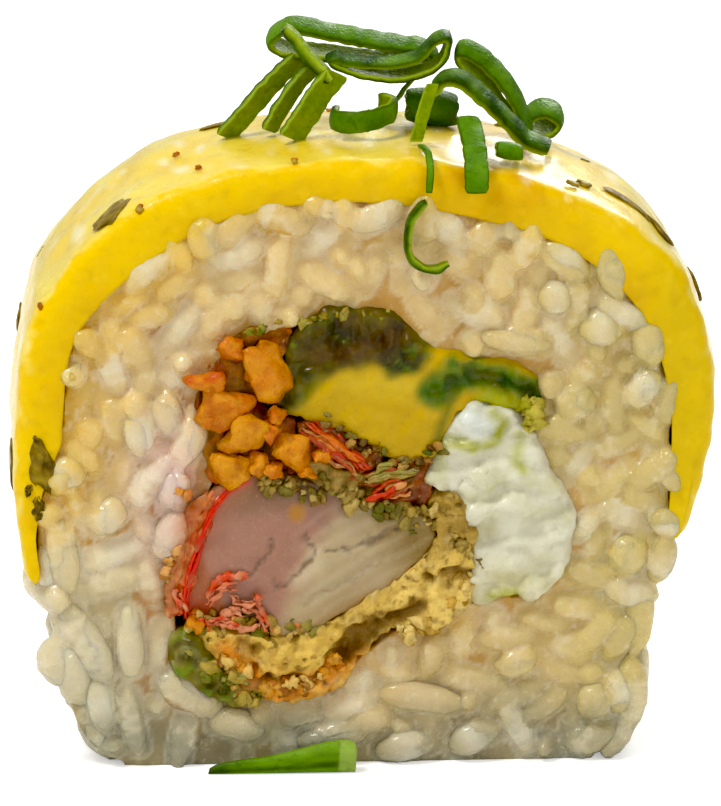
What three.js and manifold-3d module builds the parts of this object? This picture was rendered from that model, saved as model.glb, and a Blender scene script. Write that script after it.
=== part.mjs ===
// One thick slice of an uramaki roll, standing on the side that its rice was pressed flat on.
// A ring of vinegared rice holds fried prawn, avocado, cream cheese, surimi and fried crumbs, which run from
// cut face to cut face. A sheet of yellow cheese hangs over the rice, and cut spring onion is heaped on it.
//
// Millimetres. +Z is up, the front cut face looks along -Y and +X is to its viewer's right.
// The origin is on the flat base, below the middle of the slice.

import * as THREE from "three";
import { mergeVertices } from "three/addons/utils/BufferGeometryUtils.js";
import Module from "manifold-3d";

const wasm = await Module();
wasm.setup();

// Driving dimensions
const SLICE_LENGTH = 24; // from cut face to cut face
const SWELL = 0.022; // how much fatter the slice is half way along than at its cut faces
const GAP = 0.35; // clearance between pieces that touch
const EDGE_ROUND = 0.7; // rounding where a filling meets the cut face
const CHEESE_RIM = 1.1; // rounding of the cheese sheet's cut edge
const GRAIN_LENGTH = 6.4;
const GRAIN_WIDTH = 2.9;
const GRAIN_SPACING = 3.25; // least distance between the middles of two grains
const FACE_SETBACK = 0.8; // how far the packed rice lies behind the tops of the grains on the cut faces
const SHOWN_PROUD = 0.55; // how far the grains that show most stand out of the cut face
const FLANK_SINK = 0.9; // how deep the middle of a grain lies in the flank
const FLANK_EXTRA_SPACING = 0.6;
const RICE_SEED = 7;
const MIDDLE_INSET = 1; // the rice is cleared this far inside the outline of the filling's space
const BEYOND = 4; // how far a cutting shape reaches past what it cuts
const END_ROOM = 0.5; // room below the low ends of the cheese sheet

const half = SLICE_LENGTH / 2;
const STATIONS = [-half, -half + EDGE_ROUND, -4, 4, half - EDGE_ROUND, half];

// The cheese's outer skin on the cut face, from its low left end over the crown to its low right end
const CHEESE_ARCH = [
  [-25.9, 13.6], [-26.8, 19], [-26.8, 28], [-25.4, 36], [-21.4, 41.6], [-15, 46], [-7.5, 47.9],
  [0, 48.1], [7.5, 47.7], [15.4, 45.9], [21.6, 42.3], [25.8, 36.6], [27.2, 30], [26.6, 23], [24.4, 15.6],
];
// The sheet's thickness along that arch: share of the arch, millimetres
const CHEESE_THICKNESS = [
  [0, 0.9], [0.05, 1.15], [0.085, 1.9], [0.125, 3.4], [0.2, 3.3], [0.32, 3.9], [0.42, 3.1], [0.5, 2.7], [0.6, 3.6],
  [0.72, 4.1], [0.82, 3.8], [0.92, 2.7], [1, 0.9],
];
const CHEESE_STEPS = 24;
// The rice below the cheese, from the right flank round the flat base to the left flank
const RICE_FOOT = [
  [22.7, 13.5], [22.3, 8], [22.2, 3.4], [20.6, 0.5], [18.4, 0], [-18.6, 0], [-21.2, 1.1], [-23.1, 4.2],
  [-24.2, 8.5], [-24.3, 12.2],
];
// The space inside the rice, as a smooth closed outline on the cut face
const FILLING_SPACE = [
  [-12.6, 29.6], [-11.4, 32.9], [-8.6, 35.1], [-5.9, 35.1], [-3.2, 36.7], [2.6, 36.6], [4.6, 33.8], [9, 32.8],
  [13.2, 31.8], [14, 29], [13.4, 26.2], [16.1, 21.8], [16.3, 17], [14.2, 13.4], [9.8, 12.9], [7.4, 11.8],
  [4.6, 10.5], [1.2, 9.8], [-1.2, 6.8], [-4.5, 5.4], [-9, 5.2], [-13.2, 6.6], [-15.2, 10.2], [-14.8, 14.8],
  [-13.4, 19], [-12.2, 23],
];
// Each filling's outline on the cut face. They are laid in this order, and each one gives way to those before it.
const FILLINGS = {
  prawn: {
    colour: 0xd3b9ac, roughness: 0.4, points: 28,
    outline: [
      [-12, 21.9], [-9.4, 23.6], [-5.4, 23.3], [-2.4, 22.4], [0.2, 21.4], [2.2, 19.9], [4.4, 20.7], [5.8, 19.9],
      [4.9, 17.3], [1.7, 14.6], [-2.4, 12], [-5.6, 10.8], [-9, 11], [-12.9, 12.1], [-14.7, 14.4], [-13.9, 18],
    ],
  },
  avocado: {
    colour: 0xc6ab26, roughness: 0.45, points: 30,
    outline: [
      [-7.7, 29.4], [-6.2, 32.1], [-5.2, 34.7], [-2.7, 36.4], [1, 36.2], [3.1, 35.7], [4.1, 33.7], [8, 32.7],
      [12.9, 31.5], [13.7, 29.6], [11.9, 28.6], [8.6, 29.3], [6.9, 28.1], [5.9, 26.2], [5, 24.8], [2.6, 24.7],
      [-1, 26.9], [-4.4, 28.1],
    ],
  },
  batter: {
    colour: 0xc99a45, roughness: 0.8, points: 34,
    outline: [
      [6.7, 22.2], [8, 20.2], [8.3, 17.2], [8.1, 14.2], [7, 11.9], [4.3, 10.8], [2.6, 11.7], [0.9, 10.3],
      [-0.7, 8.7], [-1.6, 6.8], [-4.4, 5.6], [-7.6, 5.6], [-9.6, 7.4], [-11.4, 9.2], [-13.6, 10.9], [-12.4, 12.6],
      [-9.2, 11.8], [-5.4, 11.4], [-2, 12.8], [2, 15.4], [4.8, 18.4], [5.2, 21],
    ],
  },
  surimi_large: {
    colour: 0xe0582a, roughness: 0.45, points: 14,
    outline: [
      [-5, 27.6], [-3.4, 28], [-1.2, 27.1], [0.9, 25.6], [1.3, 24.1], [-0.4, 23.7], [-2.4, 24.4], [-4.4, 25.7],
    ],
  },
  cream_cheese: {
    colour: 0xf2efe2, roughness: 0.5, points: 30,
    outline: [
      [6.8, 27.2], [8.3, 29.4], [10.8, 29.3], [12.2, 27.4], [13.3, 26], [14.2, 23.6], [15.8, 21.4], [16.1, 17.4],
      [14.4, 14.4], [12.9, 13.3], [11.6, 14.5], [9.9, 13.1], [8, 14], [7.6, 17.3], [7.2, 20.2], [6.2, 22.2],
      [5, 22.9], [5.8, 24.8],
    ],
  },
  surimi_small: {
    colour: 0xb5502a, roughness: 0.45, points: 12,
    outline: [[1.1, 22.5], [2.1, 24.5], [4.4, 24.7], [5.2, 22.7], [4.6, 20.7], [2.3, 20.2]],
  },
  batter_flake: {
    colour: 0xa98a3c, roughness: 0.8, points: 16,
    outline: [
      [-5.4, 24.6], [-2.6, 24.4], [0.2, 23.5], [1.6, 22.2], [1.8, 20.6], [0.6, 21], [-0.6, 21.6], [-2.8, 22.4],
    ],
  },
  avocado_scrap: {
    colour: 0x76812a, roughness: 0.5, points: 14,
    outline: [
      [-15, 10.6], [-12.9, 11], [-10.5, 9.4], [-8.7, 7.4], [-8, 5.3], [-10.4, 5.3], [-12.9, 6.4], [-14.8, 8.2],
    ],
  },
};
const FRIED_CRUMBS = {
  colour: 0xdb7f22, roughness: 0.8, points: 26,
  outline: [
    [-12.8, 29.6], [-11.2, 33], [-8.7, 35.1], [-5.2, 35.1], [-5.4, 32.2], [-6.8, 29.8], [-6.6, 28.6], [-4.6, 27.4],
    [-4.2, 26.2], [-3.8, 25], [-3.6, 23.8], [-7, 23.4], [-11.9, 22.9], [-12.3, 25.8],
  ],
};
// Crumbs that stand out of the cut face: x, z, half width, half height
const CRUMBS_ON_FACE = [
  [-8.7, 32.4, 1.1, 1.6], [-10.8, 31, 1.3, 0.8], [-9.9, 28.9, 1.5, 1.2], [-9.1, 26.3, 1.6, 1.2],
  [-10.6, 24.8, 0.9, 0.9], [-6.3, 25.9, 1.0, 0.9],
];

// Grains that lie apart and show most: x, z, length, width, slope in degrees
const SHOWN_GRAINS = [
  [-23.3, 17.4, 6.6, 2.6, 98], [-23.6, 8.6, 4.2, 3.4, 80], [-21.6, 10.2, 7.4, 2.7, 118],
  [-18.2, 10.2, 6, 2.4, 92], [-20.4, 5.2, 4.9, 2.9, 100], [-19.9, 20.4, 3.4, 2.8, 35],
  [-17.3, 26.9, 3.8, 2.4, 95], [-13.5, 5.9, 5.8, 2.9, 150], [-9.9, 3.2, 4.6, 2.6, 165],
  [14.7, 37.3, 3, 3, 0], [18.2, 34.9, 3.5, 3.4, 0], [15.3, 40.2, 4.7, 2.6, 145],
  [19.1, 39.3, 4.7, 2.5, 105], [22, 33.6, 3.8, 2.8, 100], [11.7, 33.9, 5.8, 2.4, 172],
  [16.3, 28.9, 3.5, 2.9, 20], [21.6, 30.3, 3.6, 2.3, 50], [18.3, 4.8, 3.4, 2.8, 30],
  [20.2, 5.6, 3.8, 3, 80], [8.6, 1.9, 4.2, 2.6, 25], [11.9, 8.1, 3.4, 2.3, 15],
  [20.6, 16.6, 3.6, 3.4, 40], [4.6, 5.2, 7, 2.4, 170], [-2.6, 2.2, 5.4, 2.3, 8],
];

function seeded(seed) {
  let state = seed;
  return () => {
    state = (state + 0x6d2b79f5) | 0;
    let t = Math.imul(state ^ (state >>> 15), 1 | state);
    t = (t + Math.imul(t ^ (t >>> 7), 61 | t)) ^ t;
    return ((t ^ (t >>> 14)) >>> 0) / 4294967296;
  };
}

function smoothClosed(points, count) {
  const curve = new THREE.CatmullRomCurve3(points.map(([x, z]) => new THREE.Vector3(x, 0, z)), true, "centripetal");
  const outline = curve.getSpacedPoints(count).slice(0, count).map((p) => new THREE.Vector2(p.x, p.z));
  return THREE.ShapeUtils.area(outline) < 0 ? outline.reverse() : outline;
}

// An outline moved outwards all round by a distance, or inwards by a negative one
function offset(outline, distance) {
  return outline.map((p, i) => {
    const before = p.clone().sub(outline[(i + outline.length - 1) % outline.length]).normalize();
    const after = outline[(i + 1) % outline.length].clone().sub(p).normalize();
    const outward = new THREE.Vector2(before.y + after.y, -before.x - after.x).normalize();
    const lean = Math.max(0.6, outward.x * after.y - outward.y * after.x);
    return p.clone().addScaledVector(outward, distance / lean);
  });
}

function stepwise(table, share) {
  const next = Math.max(1, table.findIndex(([s]) => s >= share));
  const [[s0, v0], [s1, v1]] = [table[next - 1], table[next]];
  return THREE.MathUtils.lerp(v0, v1, (share - s0) / (s1 - s0));
}

// A closed mesh from its corners and faces, turned so that it faces out
function closedMesh(corners, faces) {
  let volume = 0;
  for (const [a, b, c] of faces) {
    volume += corners[a].dot(corners[b].clone().cross(corners[c]));
  }
  const index = volume < 0 ? faces.flatMap(([a, b, c]) => [a, c, b]) : faces.flat();
  return new THREE.BufferGeometry().setFromPoints(corners).setIndex(index);
}

// Joins like sections, each a ring of corners, into a skin; closed ends on the first, or else with flat ends
function skin(sections, closed = false) {
  const count = sections[0].length;
  const faces = [];
  const spans = closed ? sections.length : sections.length - 1;
  for (let s = 0; s < spans; s++) {
    const next = (s + 1) % sections.length;
    for (let i = 0; i < count; i++) {
      const j = (i + 1) % count;
      faces.push([s * count + i, next * count + i, s * count + j]);
      faces.push([s * count + j, next * count + i, next * count + j]);
    }
  }
  return { corners: sections.flat(), faces, count };
}

// The slice bulges a little between its cut faces, and stays flat on its base
function swell(geometry) {
  const position = geometry.getAttribute("position");
  for (let i = 0; i < position.count; i++) {
    const y = Math.min(1, Math.abs(position.getY(i)) / half);
    const scale = 1 + SWELL * (1 - y * y);
    position.setXYZ(i, position.getX(i) * scale, position.getY(i), position.getZ(i) * scale);
  }
  return geometry;
}

// A piece that runs from cut face to cut face: one outline for each station
function runThrough(outlineAt, stations = STATIONS) {
  const sections = stations.map((y) => outlineAt(y).map((p) => new THREE.Vector3(p.x, y, p.y)));
  const { corners, faces, count } = skin(sections);
  const last = (sections.length - 1) * count;
  for (const [a, b, c] of THREE.ShapeUtils.triangulateShape(outlineAt(stations[0]), [])) {
    faces.push([a, b, c]);
  }
  for (const [a, b, c] of THREE.ShapeUtils.triangulateShape(outlineAt(stations.at(-1)), [])) {
    faces.push([last + a, last + c, last + b]);
  }
  return swell(closedMesh(corners, faces));
}

function solidOf(geometry) {
  const bare = geometry.clone();
  bare.deleteAttribute("normal");
  bare.deleteAttribute("uv");
  const merged = mergeVertices(bare, 1e-4);
  const mesh = { numProp: 3, vertProperties: merged.attributes.position.array };
  return new wasm.Manifold(new wasm.Mesh({ ...mesh, triVerts: new Uint32Array(merged.index.array) }));
}

function geometryOf(solid) {
  const mesh = solid.getMesh();
  return new THREE.BufferGeometry()
    .setAttribute("position", new THREE.BufferAttribute(mesh.vertProperties, 3))
    .setIndex(new THREE.BufferAttribute(mesh.triVerts, 1));
}

// Keeps what is joined to the main body, without loose scraps
function largest(solid) {
  const parts = solid.decompose().sort((a, b) => b.volume() - a.volume());
  return parts[0];
}

const slice = new THREE.Group();

function piece(name, geometry, colour, roughness) {
  const mesh = new THREE.Mesh(geometry, new THREE.MeshStandardMaterial({ color: colour, roughness, metalness: 0 }));
  mesh.name = name;
  slice.add(mesh);
  return mesh;
}

// The cheese sheet
const arch = new THREE.CatmullRomCurve3(
  CHEESE_ARCH.map(([x, z]) => new THREE.Vector3(x, 0, z)), false, "centripetal",
);
arch.arcLengthDivisions = 400;

// A point at a share of the arch, moved inwards by a depth
function underArch(share, depth) {
  const p = arch.getPointAt(share);
  const along = arch.getTangentAt(share);
  return new THREE.Vector2(p.x + along.z * depth, p.z - along.x * depth);
}

function rimInset(y) {
  const past = Math.max(0, Math.abs(y) - (half - CHEESE_RIM)) / CHEESE_RIM;
  return CHEESE_RIM * (1 - Math.sqrt(1 - Math.min(1, past) ** 2));
}

function cheeseOutline(y) {
  const inset = 0.55 * rimInset(y);
  const from = 0.008 + 0.006 * Math.sin(0.5 * y + 1);
  const to = 0.985 + 0.012 * Math.sin(0.42 * y + 2.4);
  const shares = Array.from({ length: CHEESE_STEPS + 1 }, (_, i) => from + ((to - from) * i) / CHEESE_STEPS);
  const outer = shares.map((s) => underArch(s, Math.min(inset, 0.45 * stepwise(CHEESE_THICKNESS, s))));
  const inner = shares.map((s) => underArch(s, stepwise(CHEESE_THICKNESS, s)));
  const outline = [...outer, ...inner.reverse()];
  return THREE.ShapeUtils.area(outline) < 0 ? outline.reverse() : outline;
}

const rimStations = [half, half - 0.1 * CHEESE_RIM, half - 0.4 * CHEESE_RIM, half - CHEESE_RIM, 5.5];
const cheeseStations = [...rimStations.map((y) => -y), 0, ...rimStations.toReversed()];

// Browned flakes that lie in the cheese: share of the arch, place along the slice, length, width, turn
const FLAKES = [
  [0.1, -9.4, 3.4, 1.8, 0.5], [0.07, -10.4, 1.6, 1.2, 0], [0.3, -9.6, 3.6, 1.5, 0.9], [0.74, -5, 4.4, 1.3, 0.2],
  [0.4, 3.5, 2.6, 1.4, 0.6], [0.62, 5.5, 3, 1.4, 1.2], [0.86, 4, 3.2, 1.6, 0.4], [0.18, 5, 3, 1.5, 1],
];

function flake([share, y, length, width, turn]) {
  const at = underArch(share, 0);
  const along = arch.getTangentAt(share);
  const geometry = new THREE.SphereGeometry(1, 8, 4).scale(length / 2, width / 2, 0.4);
  geometry.rotateZ(turn);
  geometry.rotateY(Math.atan2(-along.z, along.x));
  return swell(geometry.translate(at.x, y, at.y));
}

const sheet = solidOf(runThrough(cheeseOutline, cheeseStations));
const flaked = wasm.Manifold.union([sheet, ...FLAKES.map((f) => solidOf(flake(f)))]);
piece("cheese_sheet", geometryOf(largest(flaked)), 0xe8c22c, 0.35);

// The rice ring: an outline under the cheese and down to the flat base, with the filling's space cut out
const RICE_SHARES = 22;

function riceOutline() {
  const under = Array.from({ length: RICE_SHARES + 1 }, (_, i) => {
    const share = 0.02 + (0.96 * i) / RICE_SHARES;
    return underArch(share, stepwise(CHEESE_THICKNESS, share) + GAP);
  });
  const foot = RICE_FOOT.map(([x, z]) => new THREE.Vector2(x, z));
  const outline = [...under, ...foot];
  return THREE.ShapeUtils.area(outline) < 0 ? outline.reverse() : outline;
}

const riceEdge = riceOutline();
const fillingEdge = smoothClosed(FILLING_SPACE, 40);
const face = half - FACE_SETBACK;
const PACKED_STATIONS = [-face, -face + EDGE_ROUND, -4, 4, face - EDGE_ROUND, face];

function packedOutline(y) {
  const inset = Math.abs(y) > face - 0.1 ? -0.35 : 0;
  return offset(riceEdge, inset).map((p) => new THREE.Vector2(p.x, Math.max(0, p.y)));
}

// One low-sided grain, its long axis along X
function grainShape(length, width) {
  return new THREE.SphereGeometry(0.5, 6, 3).rotateZ(Math.PI / 2).scale(length, width, width * 0.92);
}

function distanceTo(outline, x, z) {
  let nearest = Infinity;
  let inside = false;
  for (let i = 0, j = outline.length - 1; i < outline.length; j = i++) {
    const [a, b] = [outline[j], outline[i]];
    const [dx, dz] = [b.x - a.x, b.y - a.y];
    const t = THREE.MathUtils.clamp(((x - a.x) * dx + (z - a.y) * dz) / (dx * dx + dz * dz), 0, 1);
    nearest = Math.min(nearest, Math.hypot(x - a.x - t * dx, z - a.y - t * dz));
    if (b.y > z !== a.y > z && x < ((a.x - b.x) * (z - b.y)) / (a.y - b.y) + b.x) inside = !inside;
  }
  return inside ? nearest : -nearest;
}

// Whether a grain lying on a cut face stays on the rice, clear of the cheese and the filling
function fitsOnFace(x, z, length, width, slope) {
  const reach = length / 2 - width * 0.3;
  return [-1, 0, 1].every((end) => {
    const [px, pz] = [x + end * reach * Math.cos(slope), z + end * reach * Math.sin(slope)];
    const room = width * 0.42;
    return distanceTo(riceEdge, px, pz) > room && distanceTo(fillingEdge, px, pz) < -room;
  });
}

// The curl of spring onion and the stem at the foot lie against the front face, so grains there stay low
function liesUnderOnion(x, z) {
  return (x > 2 && x < 8 && z > 38.5) || (x > -12.5 && x < 0.5 && z < 4.2);
}

const grains = [];

function grainOnFace(side, x, z, length, width, slope, proud) {
  const out = side * (half - width / 2 + proud);
  grains.push(swell(grainShape(length, width).rotateY(-slope).translate(x, out, z)));
}

function scatterOnFace(side, random, placed) {
  for (let tries = 0; tries < 5000; tries++) {
    const [x, z] = [THREE.MathUtils.lerp(-25, 25, random()), THREE.MathUtils.lerp(1.3, 46, random())];
    const length = GRAIN_LENGTH * (0.62 + 0.4 * random());
    const width = GRAIN_WIDTH * (0.9 + 0.2 * random());
    const slope = Math.PI * random();
    const proud = 0.25 + 0.3 * random();
    const crowded = placed.some(([px, pz]) => Math.hypot(px - x, pz - z) < GRAIN_SPACING);
    if (crowded || !fitsOnFace(x, z, length, width, slope)) continue;
    placed.push([x, z]);
    grainOnFace(side, x, z, length, width, slope, side < 0 && liesUnderOnion(x, z) ? 0.1 : proud);
  }
}

// Where the rice's flank lies at a height: the widest crossing of its outline
function flankAt(side, z) {
  let reach = 0;
  for (let i = 0, j = riceEdge.length - 1; i < riceEdge.length; j = i++) {
    const [a, b] = [riceEdge[j], riceEdge[i]];
    if (a.y > z === b.y > z) continue;
    reach = Math.max(reach, side * (a.x + ((b.x - a.x) * (z - a.y)) / (b.y - a.y)));
  }
  return side * reach;
}

function scatterOnFlank(side, random) {
  const placed = [];
  for (let tries = 0; tries < 900; tries++) {
    const [y, z] = [THREE.MathUtils.lerp(-10.6, 10.6, random()), THREE.MathUtils.lerp(1.2, 11.8, random())];
    const length = GRAIN_LENGTH * (0.7 + 0.3 * random());
    const turn = Math.PI * random();
    if (placed.some(([py, pz]) => Math.hypot(py - y, pz - z) < GRAIN_SPACING + FLANK_EXTRA_SPACING)) continue;
    placed.push([y, z]);
    const x = flankAt(side, z) - side * FLANK_SINK;
    const grain = grainShape(length, GRAIN_WIDTH).rotateZ(Math.PI / 2).rotateX(turn);
    grains.push(swell(grain.translate(x, y, z)));
  }
}

const random = seeded(RICE_SEED);
const shown = [];
for (const [x, z, length, width, degrees] of SHOWN_GRAINS) {
  grainOnFace(-1, x, z, length, width, THREE.MathUtils.degToRad(degrees), SHOWN_PROUD);
  shown.push([x, z]);
}
scatterOnFace(-1, random, shown);
scatterOnFace(1, random, []);
scatterOnFlank(-1, random);
scatterOnFlank(1, random);

// The room that the cheese takes, a gap wider than the sheet all round
function cheeseRoom() {
  const shares = Array.from({ length: 2 * CHEESE_STEPS + 1 }, (_, i) => i / (2 * CHEESE_STEPS));
  const outer = shares.map((s) => underArch(s, -BEYOND));
  const inner = shares.map((s) => underArch(s, stepwise(CHEESE_THICKNESS, s) + GAP));
  for (const side of [outer, inner]) {
    side[0].y -= END_ROOM;
    side.at(-1).y -= END_ROOM;
  }
  const outline = [...outer, ...inner.reverse()];
  return THREE.ShapeUtils.area(outline) < 0 ? outline.reverse() : outline;
}

// The fillings, each rounded a little where it meets the cut faces, and the room that each one takes
const pastEnds = [-half - BEYOND, ...STATIONS, half + BEYOND];
const rooms = [];

function laid({ outline, points }) {
  const edge = smoothClosed(outline, points);
  const shape = solidOf(runThrough((y) => offset(edge, Math.abs(y) > half - 0.1 ? -0.2 : 0)));
  const free = shape.subtract(wasm.Manifold.union(rooms));
  rooms.push(solidOf(runThrough(() => offset(edge, GAP), pastEnds)));
  return largest(free);
}

for (const [name, filling] of Object.entries(FILLINGS)) {
  piece(name, geometryOf(laid(filling)), filling.colour, filling.roughness);
}

function crumb(side, [x, z, halfWidth, halfHeight]) {
  const shape = new THREE.IcosahedronGeometry(1, 0);
  shape.rotateX(3 * random());
  shape.rotateZ(3 * random());
  return swell(shape.scale(halfWidth, 0.9, halfHeight).translate(x, side * (half - 0.15), z));
}

const crumbs = [-1, 1].flatMap((side) => CRUMBS_ON_FACE.map((c) => crumb(side, c)));
const crumbHeap = wasm.Manifold.union([laid(FRIED_CRUMBS), ...crumbs.map(solidOf)]);
piece("fried_crumbs", geometryOf(largest(crumbHeap)), FRIED_CRUMBS.colour, FRIED_CRUMBS.roughness);

const aboveFloor = new THREE.BoxGeometry(8 * half, 8 * half, 8 * half).translate(0, 0, 4 * half);
const heaped = wasm.Manifold.union([solidOf(runThrough(packedOutline, PACKED_STATIONS)), ...grains.map(solidOf)])
  .subtract(solidOf(runThrough(cheeseRoom, pastEnds)))
  .subtract(solidOf(runThrough(() => offset(fillingEdge, -MIDDLE_INSET), pastEnds)))
  .subtract(wasm.Manifold.union(rooms))
  .intersect(solidOf(aboveFloor));
piece("rice", geometryOf(largest(heaped)), 0xe6dcc2, 0.45);

// The spring onion. Each cut ring, strip and thread is a band of the leaf's wall that follows a path; its
// `across` is the way the band's width runs.
const LEAF_WALL = 0.6;
const DARK_LEAF = 0x2f5f14;
const MID_LEAF = 0x4f8a1e;
const PALE_LEAF = 0x7fa545;

function band({ path, across, width, wall = LEAF_WALL, closed = false, steps = 12 }) {
  const curve = new THREE.CatmullRomCurve3(path.map((p) => new THREE.Vector3(...p)), closed, "centripetal");
  const side = new THREE.Vector3(...across).normalize();
  const count = closed ? steps : steps + 1;
  const sections = Array.from({ length: count }, (_, i) => {
    const middle = curve.getPointAt(i / steps);
    const out = curve.getTangentAt(i / steps).cross(side).normalize();
    const corner = ([s, o]) =>
      middle.clone().addScaledVector(side, (s * width) / 2).addScaledVector(out, (o * wall) / 2);
    return [[-1, -1], [1, -1], [1, 1], [-1, 1]].map(corner);
  });
  const { corners, faces } = skin(sections, closed);
  const last = corners.length - 4;
  if (!closed) faces.push([0, 1, 2], [0, 2, 3], [last, last + 2, last + 1], [last, last + 3, last + 2]);
  return closedMesh(corners, faces);
}

// A path in a plane that faces the cut face's viewer: y, then x and z by turns
function inPlane(y, ...places) {
  return places.map(([x, z]) => [x, y, z]);
}

// A tiny fleck of chilli that is stuck to one of the strips
const CHILLI_ON = "onion_strip_left_a";

function chilliOn(strip) {
  const fleck = new THREE.OctahedronGeometry(1).scale(0.45, 0.3, 0.3).translate(-7.9, -1.1, 51.1);
  return solidOf(strip).add(solidOf(fleck));
}

const ONION = {
  onion_strip_left_a: {
    colour: MID_LEAF, across: [0.55, 0.8, -0.4], width: 2, steps: 7,
    path: [[-10, -1.2, 49.5], [-8.3, -1, 51.4], [-6.3, -0.8, 53.3], [-5, -0.7, 54]],
  },
  onion_strip_left_b: {
    colour: MID_LEAF, across: [0.5, 0.8, -0.35], width: 1.5, steps: 7,
    path: [[-6.6, -3.2, 49.7], [-5.4, -2.9, 50.9], [-4.1, -2.6, 52.6], [-3, -2.5, 53.3]],
  },
  onion_strip_left_c: {
    colour: MID_LEAF, across: [0.6, 0.7, -0.4], width: 2.2, steps: 7,
    path: [[-5.3, -5.9, 49.8], [-4.2, -5.3, 50.8], [-3, -4.9, 52.1], [-1.5, -4.6, 52.5]],
  },
  onion_loop_left: {
    colour: DARK_LEAF, across: [0.1, 1, 0.15], width: 1.3, wall: 0.95, steps: 8,
    path: [[-5.9, -2.9, 57.1], [-4.9, -3.2, 56.5], [-4.1, -3.9, 55.3], [-2.5, -4.8, 54]],
  },
  onion_ring_top: {
    colour: MID_LEAF, across: [0.1, 1, 0.2], width: 2.3, wall: 0.5, closed: true, steps: 20,
    path: inPlane(
      -0.6, [-6.7, 55.9], [-5.3, 56.9], [-2, 56.4], [2, 55.6], [5.2, 55.1], [6, 54.4], [4.6, 54.1], [1, 54.3],
      [-3, 54.9], [-5.8, 55.2],
    ),
  },
  onion_ring_middle: {
    colour: DARK_LEAF, across: [0, 1, 0.1], width: 1.8, wall: 0.45, closed: true, steps: 20,
    path: inPlane(
      -3, [-2.1, 54.6], [0, 53.4], [2.5, 52.9], [5.2, 53.3], [6.6, 54.7], [6.9, 56.4], [6.1, 56.3], [5.3, 54.9],
      [3.2, 54.1], [0.5, 54.3],
    ),
  },
  onion_half_ring: {
    colour: MID_LEAF, across: [0.05, -0.15, 1], width: 1.8, steps: 12,
    path: [
      [-1.7, -3.6, 50.4], [-1.9, -5, 50.3], [-1, -6, 50.2], [0.8, -6.1, 50.4], [2.3, -5.4, 50.8], [2.6, -4, 51.1],
      [1.6, -2.9, 51.2],
    ],
  },
  onion_thread_back: {
    colour: DARK_LEAF, across: [0, 1, 0], width: 0.4, wall: 0.4, steps: 4,
    path: inPlane(-1, [2.6, 49.5], [3.3, 51.3], [4.8, 53.1]),
  },
  onion_strip_front: {
    colour: PALE_LEAF, across: [1, 0, 0], width: 1.1, wall: 0.45, steps: 6,
    path: [[5.5, -7.4, 53.4], [4.9, -7.4, 51.5], [4.2, -7.8, 48.95]],
  },
  onion_thread_front: {
    colour: PALE_LEAF, across: [1, 0, 0], width: 0.6, wall: 0.35, steps: 6,
    path: [[4.5, -9, 48.9], [4.9, -11, 48.7], [5, -12.45, 47.7], [4.9, -12.6, 45.9]],
  },
  onion_curl: {
    colour: DARK_LEAF, across: [0, 1, 0], width: 1.4, wall: 0.55, steps: 12,
    path: inPlane(-13, [4.7, 45.3], [3.7, 44.1], [3.3, 42.3], [3.7, 40.8], [5, 40.1], [6.4, 40.5]),
  },
  onion_strip_short: {
    colour: PALE_LEAF, across: [1, 0, 0], width: 1.9, steps: 8,
    path: [[8.2, -7.6, 50.7], [8.4, -9.5, 49.7], [8.5, -11.4, 48.6], [8.5, -12.75, 47.5], [8.5, -12.8, 45.9]],
  },
  onion_tube_back: {
    colour: DARK_LEAF, across: [1, 0.1, -0.12], width: 4.4, wall: 0.5, closed: true, steps: 10,
    path: [[6.2, -2, 50.1], [6.2, -0.5, 50.8], [6.2, 1, 50.1], [6.2, -0.5, 49.5]],
  },
  onion_tube_small: {
    colour: PALE_LEAF, across: [1, -0.1, -0.15], width: 2.2, wall: 0.35, closed: true, steps: 8,
    path: [[11.3, -9.6, 48.4], [11.3, -9, 48.8], [11.3, -8.4, 48.4], [11.3, -9, 48]],
  },
  onion_ring_right: {
    colour: MID_LEAF, across: [0.3, 1, 0.5], width: 2.1, wall: 0.45, closed: true, steps: 18,
    path: inPlane(
      -2.6, [7.9, 55.3], [9.1, 55], [11, 53.3], [12.5, 51], [13.2, 48.4], [11.9, 49.8], [10.2, 52.1], [8.6, 54],
    ),
  },
  onion_band_right: {
    colour: DARK_LEAF, across: [0.25, 1, 0.35], width: 2.1, wall: 0.8, steps: 12,
    path: inPlane(-5.7, [5.9, 52.6], [6.5, 53.5], [7.6, 53.5], [9.6, 52], [11.6, 50], [13.1, 48.6], [14.7, 48]),
  },
  onion_ring_small: {
    colour: MID_LEAF, across: [0.1, 1, 0.05], width: 2.2, wall: 0.45, closed: true, steps: 12,
    path: inPlane(0.2, [13.6, 48.6], [14.1, 49.6], [15, 50], [15.8, 49.2], [15.5, 48], [14.4, 47.9]),
  },
};
for (const [name, strip] of Object.entries(ONION)) {
  piece(name, name === CHILLI_ON ? geometryOf(chilliOn(band(strip))) : band(strip), strip.colour, 0.4);
}

// A short length of stem on the floor against the rice, thin at its left end: x, height, depth
const STEM = [[-12.3, 0.8, 0.5], [-10, 1.1, 0.8], [-7.6, 1.5, 1], [-5, 2.2, 1.2], [-1.9, 2.9, 1.4]];
const STEM_Y = -13.35;
const STEM_SIDES = 8;
const stem = skin(STEM.map(([x, height, depth]) => Array.from({ length: STEM_SIDES }, (_, i) => {
  const angle = (2 * Math.PI * (i + 0.5)) / STEM_SIDES;
  const rise = 0.5 + (0.5 * Math.sin(angle)) / Math.sin(((2 * Math.PI) / STEM_SIDES) * 1.5);
  return new THREE.Vector3(x, STEM_Y + (depth / 2) * Math.cos(angle), height * rise);
})));
const stemEnd = (STEM.length - 1) * STEM_SIDES;
for (let i = 1; i < STEM_SIDES - 1; i++) {
  stem.faces.push([0, i, i + 1], [stemEnd, stemEnd + i + 1, stemEnd + i]);
}
piece("onion_stem", closedMesh(stem.corners, stem.faces), MID_LEAF, 0.4);

export default slice;
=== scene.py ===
import math
import random
from collections import namedtuple

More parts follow.
